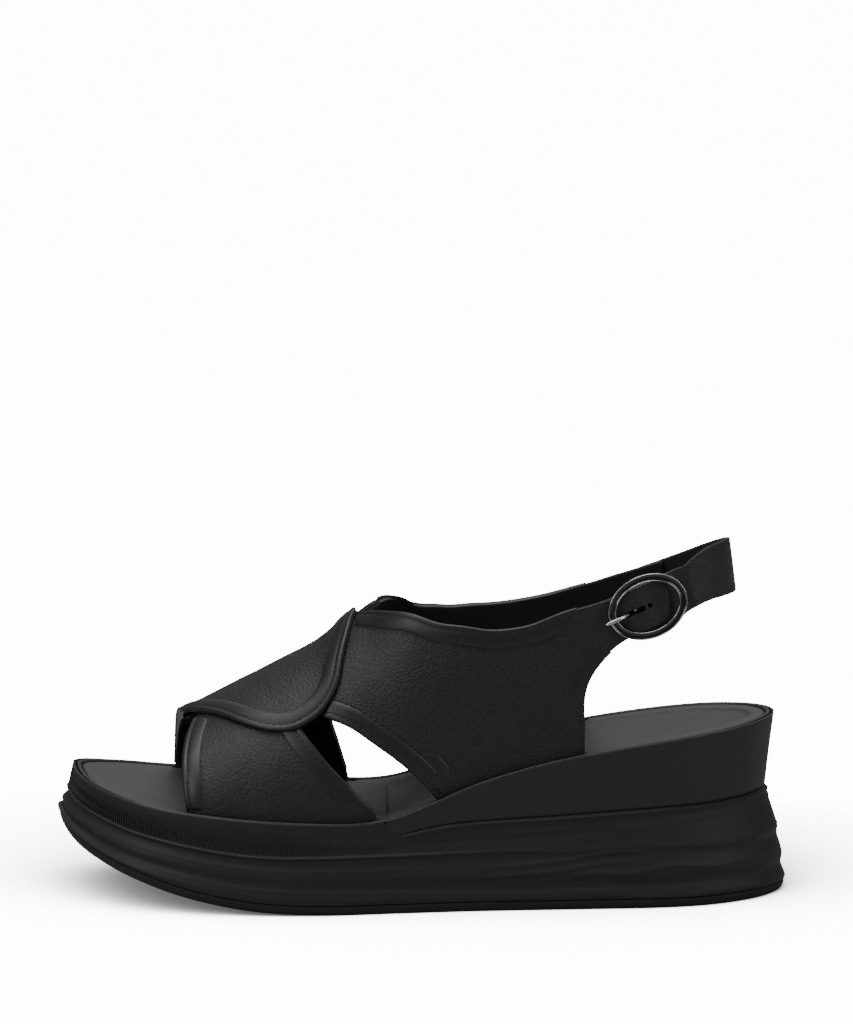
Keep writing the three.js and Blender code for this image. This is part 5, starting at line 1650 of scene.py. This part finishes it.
class SANDAL_OT_stage(bpy.types.Operator):
    """Pale floor with a painted contact shadow, soft studio lights and the camera"""

    bl_idname = "sandal.stage"
    bl_label = "Stage"

    def execute(self, context):
        stage = context.scene.sandal_stage
        floor_mesh = bpy.data.meshes.new("floor")
        reach = FLOOR_REACH
        corners = [(-reach, -reach, 0), (reach, -reach, 0), (reach, reach, 0), (-reach, reach, 0)]
        floor_mesh.from_pydata(corners, [], [(0, 1, 2, 3)])
        floor = linked("floor", floor_mesh)
        paper = bpy.data.materials.new("paper")
        paper.use_nodes = True
        g = Graph(paper.node_tree)
        paper.node_tree.nodes.clear()
        seen = g.add("ShaderNodeLightPath").outputs["Is Camera Ray"]
        matt = g.add("ShaderNodeBsdfDiffuse", Color=(0.42, 0.42, 0.42, 1))
        glow = g.add("ShaderNodeEmission", Color=(1, 1, 1, 1))
        towards = g.add("ShaderNodeCombineXYZ", X=-0.1, Y=-0.62, Z=0.78)
        # Painted shadow: the floor's glow, which only the camera sees, is darkened by ambient
        # occlusion round the sandal, leaned towards the camera.
        shade = g.add("ShaderNodeAmbientOcclusion", {"samples": 12}, Distance=0.12,
                      Normal=towards.outputs[0])
        glow_level = g.term(seen) * (g.term(shade.outputs["AO"]) ** 4.5 * 13.5 + 0.1)
        g.join(glow_level, glow.inputs["Strength"])
        both = g.add("ShaderNodeAddShader", i0=matt.outputs[0], i1=glow.outputs[0])
        g.add("ShaderNodeOutputMaterial", Surface=both.outputs[0])
        floor_mesh.materials.append(paper)

        world = bpy.data.worlds.new("studio")
        context.scene.world = world
        world.use_nodes = True
        sky = Graph(world.node_tree)
        world.node_tree.nodes.clear()
        direct = sky.term(sky.add("ShaderNodeLightPath").outputs["Is Camera Ray"])
        air = sky.add("ShaderNodeBackground", Color=(1, 1, 1, 1))
        sky.join(direct * 16.0 + 0.14, air.inputs["Strength"])
        sky.add("ShaderNodeOutputWorld", Surface=air.outputs[0])

        for name, place, target, size, power in LIGHTS:
            lamp = bpy.data.lights.new(name, "AREA")
            lamp.shape, lamp.size, lamp.size_y = "RECTANGLE", *size
            lamp.energy = power * stage.light
            obj = linked(name, lamp)
            obj.location = place
            aim = Vector(target) - Vector(place)
            obj.rotation_euler = aim.to_track_quat("-Z", "Y").to_euler()

        camera = bpy.data.cameras.new("camera")
        camera.lens = camera.sensor_width * stage.distance / stage.width
        camera.clip_end = 50
        obj = linked("camera", camera)
        e = stage.elevation
        middle = Vector(LOOK_AT)
        back = Vector((0, -math.cos(e), math.sin(e)))
        obj.location = middle + back * stage.distance
        obj.rotation_euler = (-back).to_track_quat("-Z", "Y").to_euler()
        context.scene.camera = obj
        return {"FINISHED"}


class SANDAL_PT_pieces(bpy.types.Panel):
    """Builders and settings of the sandal"""

    bl_idname = "SANDAL_PT_pieces"
    bl_label = "Wedge sandal"
    bl_space_type = "VIEW_3D"
    bl_region_type = "UI"
    bl_category = "Sandal"

    def draw(self, context):
        for operator in OPERATORS:
            self.layout.operator(operator.bl_idname)
        for group in (context.scene.sandal_sizes, context.scene.sandal_finish,
                      context.scene.sandal_stage):
            for name in group.__annotations__:
                self.layout.prop(group, name)


OPERATORS = (SANDAL_OT_outsole, SANDAL_OT_platform, SANDAL_OT_wedge, SANDAL_OT_footbed,
             SANDAL_OT_inner_parts, SANDAL_OT_linings, SANDAL_OT_straps, SANDAL_OT_bands,
             SANDAL_OT_heel_strap, SANDAL_OT_stitching, SANDAL_OT_buckle, SANDAL_OT_stage)
GROUPS = {"sandal_sizes": SandalSizes, "sandal_finish": SandalFinish,
          "sandal_stage": SandalStage}


def register():
    for cls in (*GROUPS.values(), *OPERATORS, SANDAL_PT_pieces):
        bpy.utils.register_class(cls)
    for name, cls in GROUPS.items():
        setattr(bpy.types.Scene, name, PointerProperty(type=cls))


def unregister():
    for name in GROUPS:
        delattr(bpy.types.Scene, name)
    for cls in (SANDAL_PT_pieces, *reversed(OPERATORS), *GROUPS.values()):
        bpy.utils.unregister_class(cls)


def main():
    register()
    for operator in OPERATORS:
        module, name = operator.bl_idname.split(".")
        getattr(getattr(bpy.ops, module), name)()


if __name__ == "__main__":
    main()
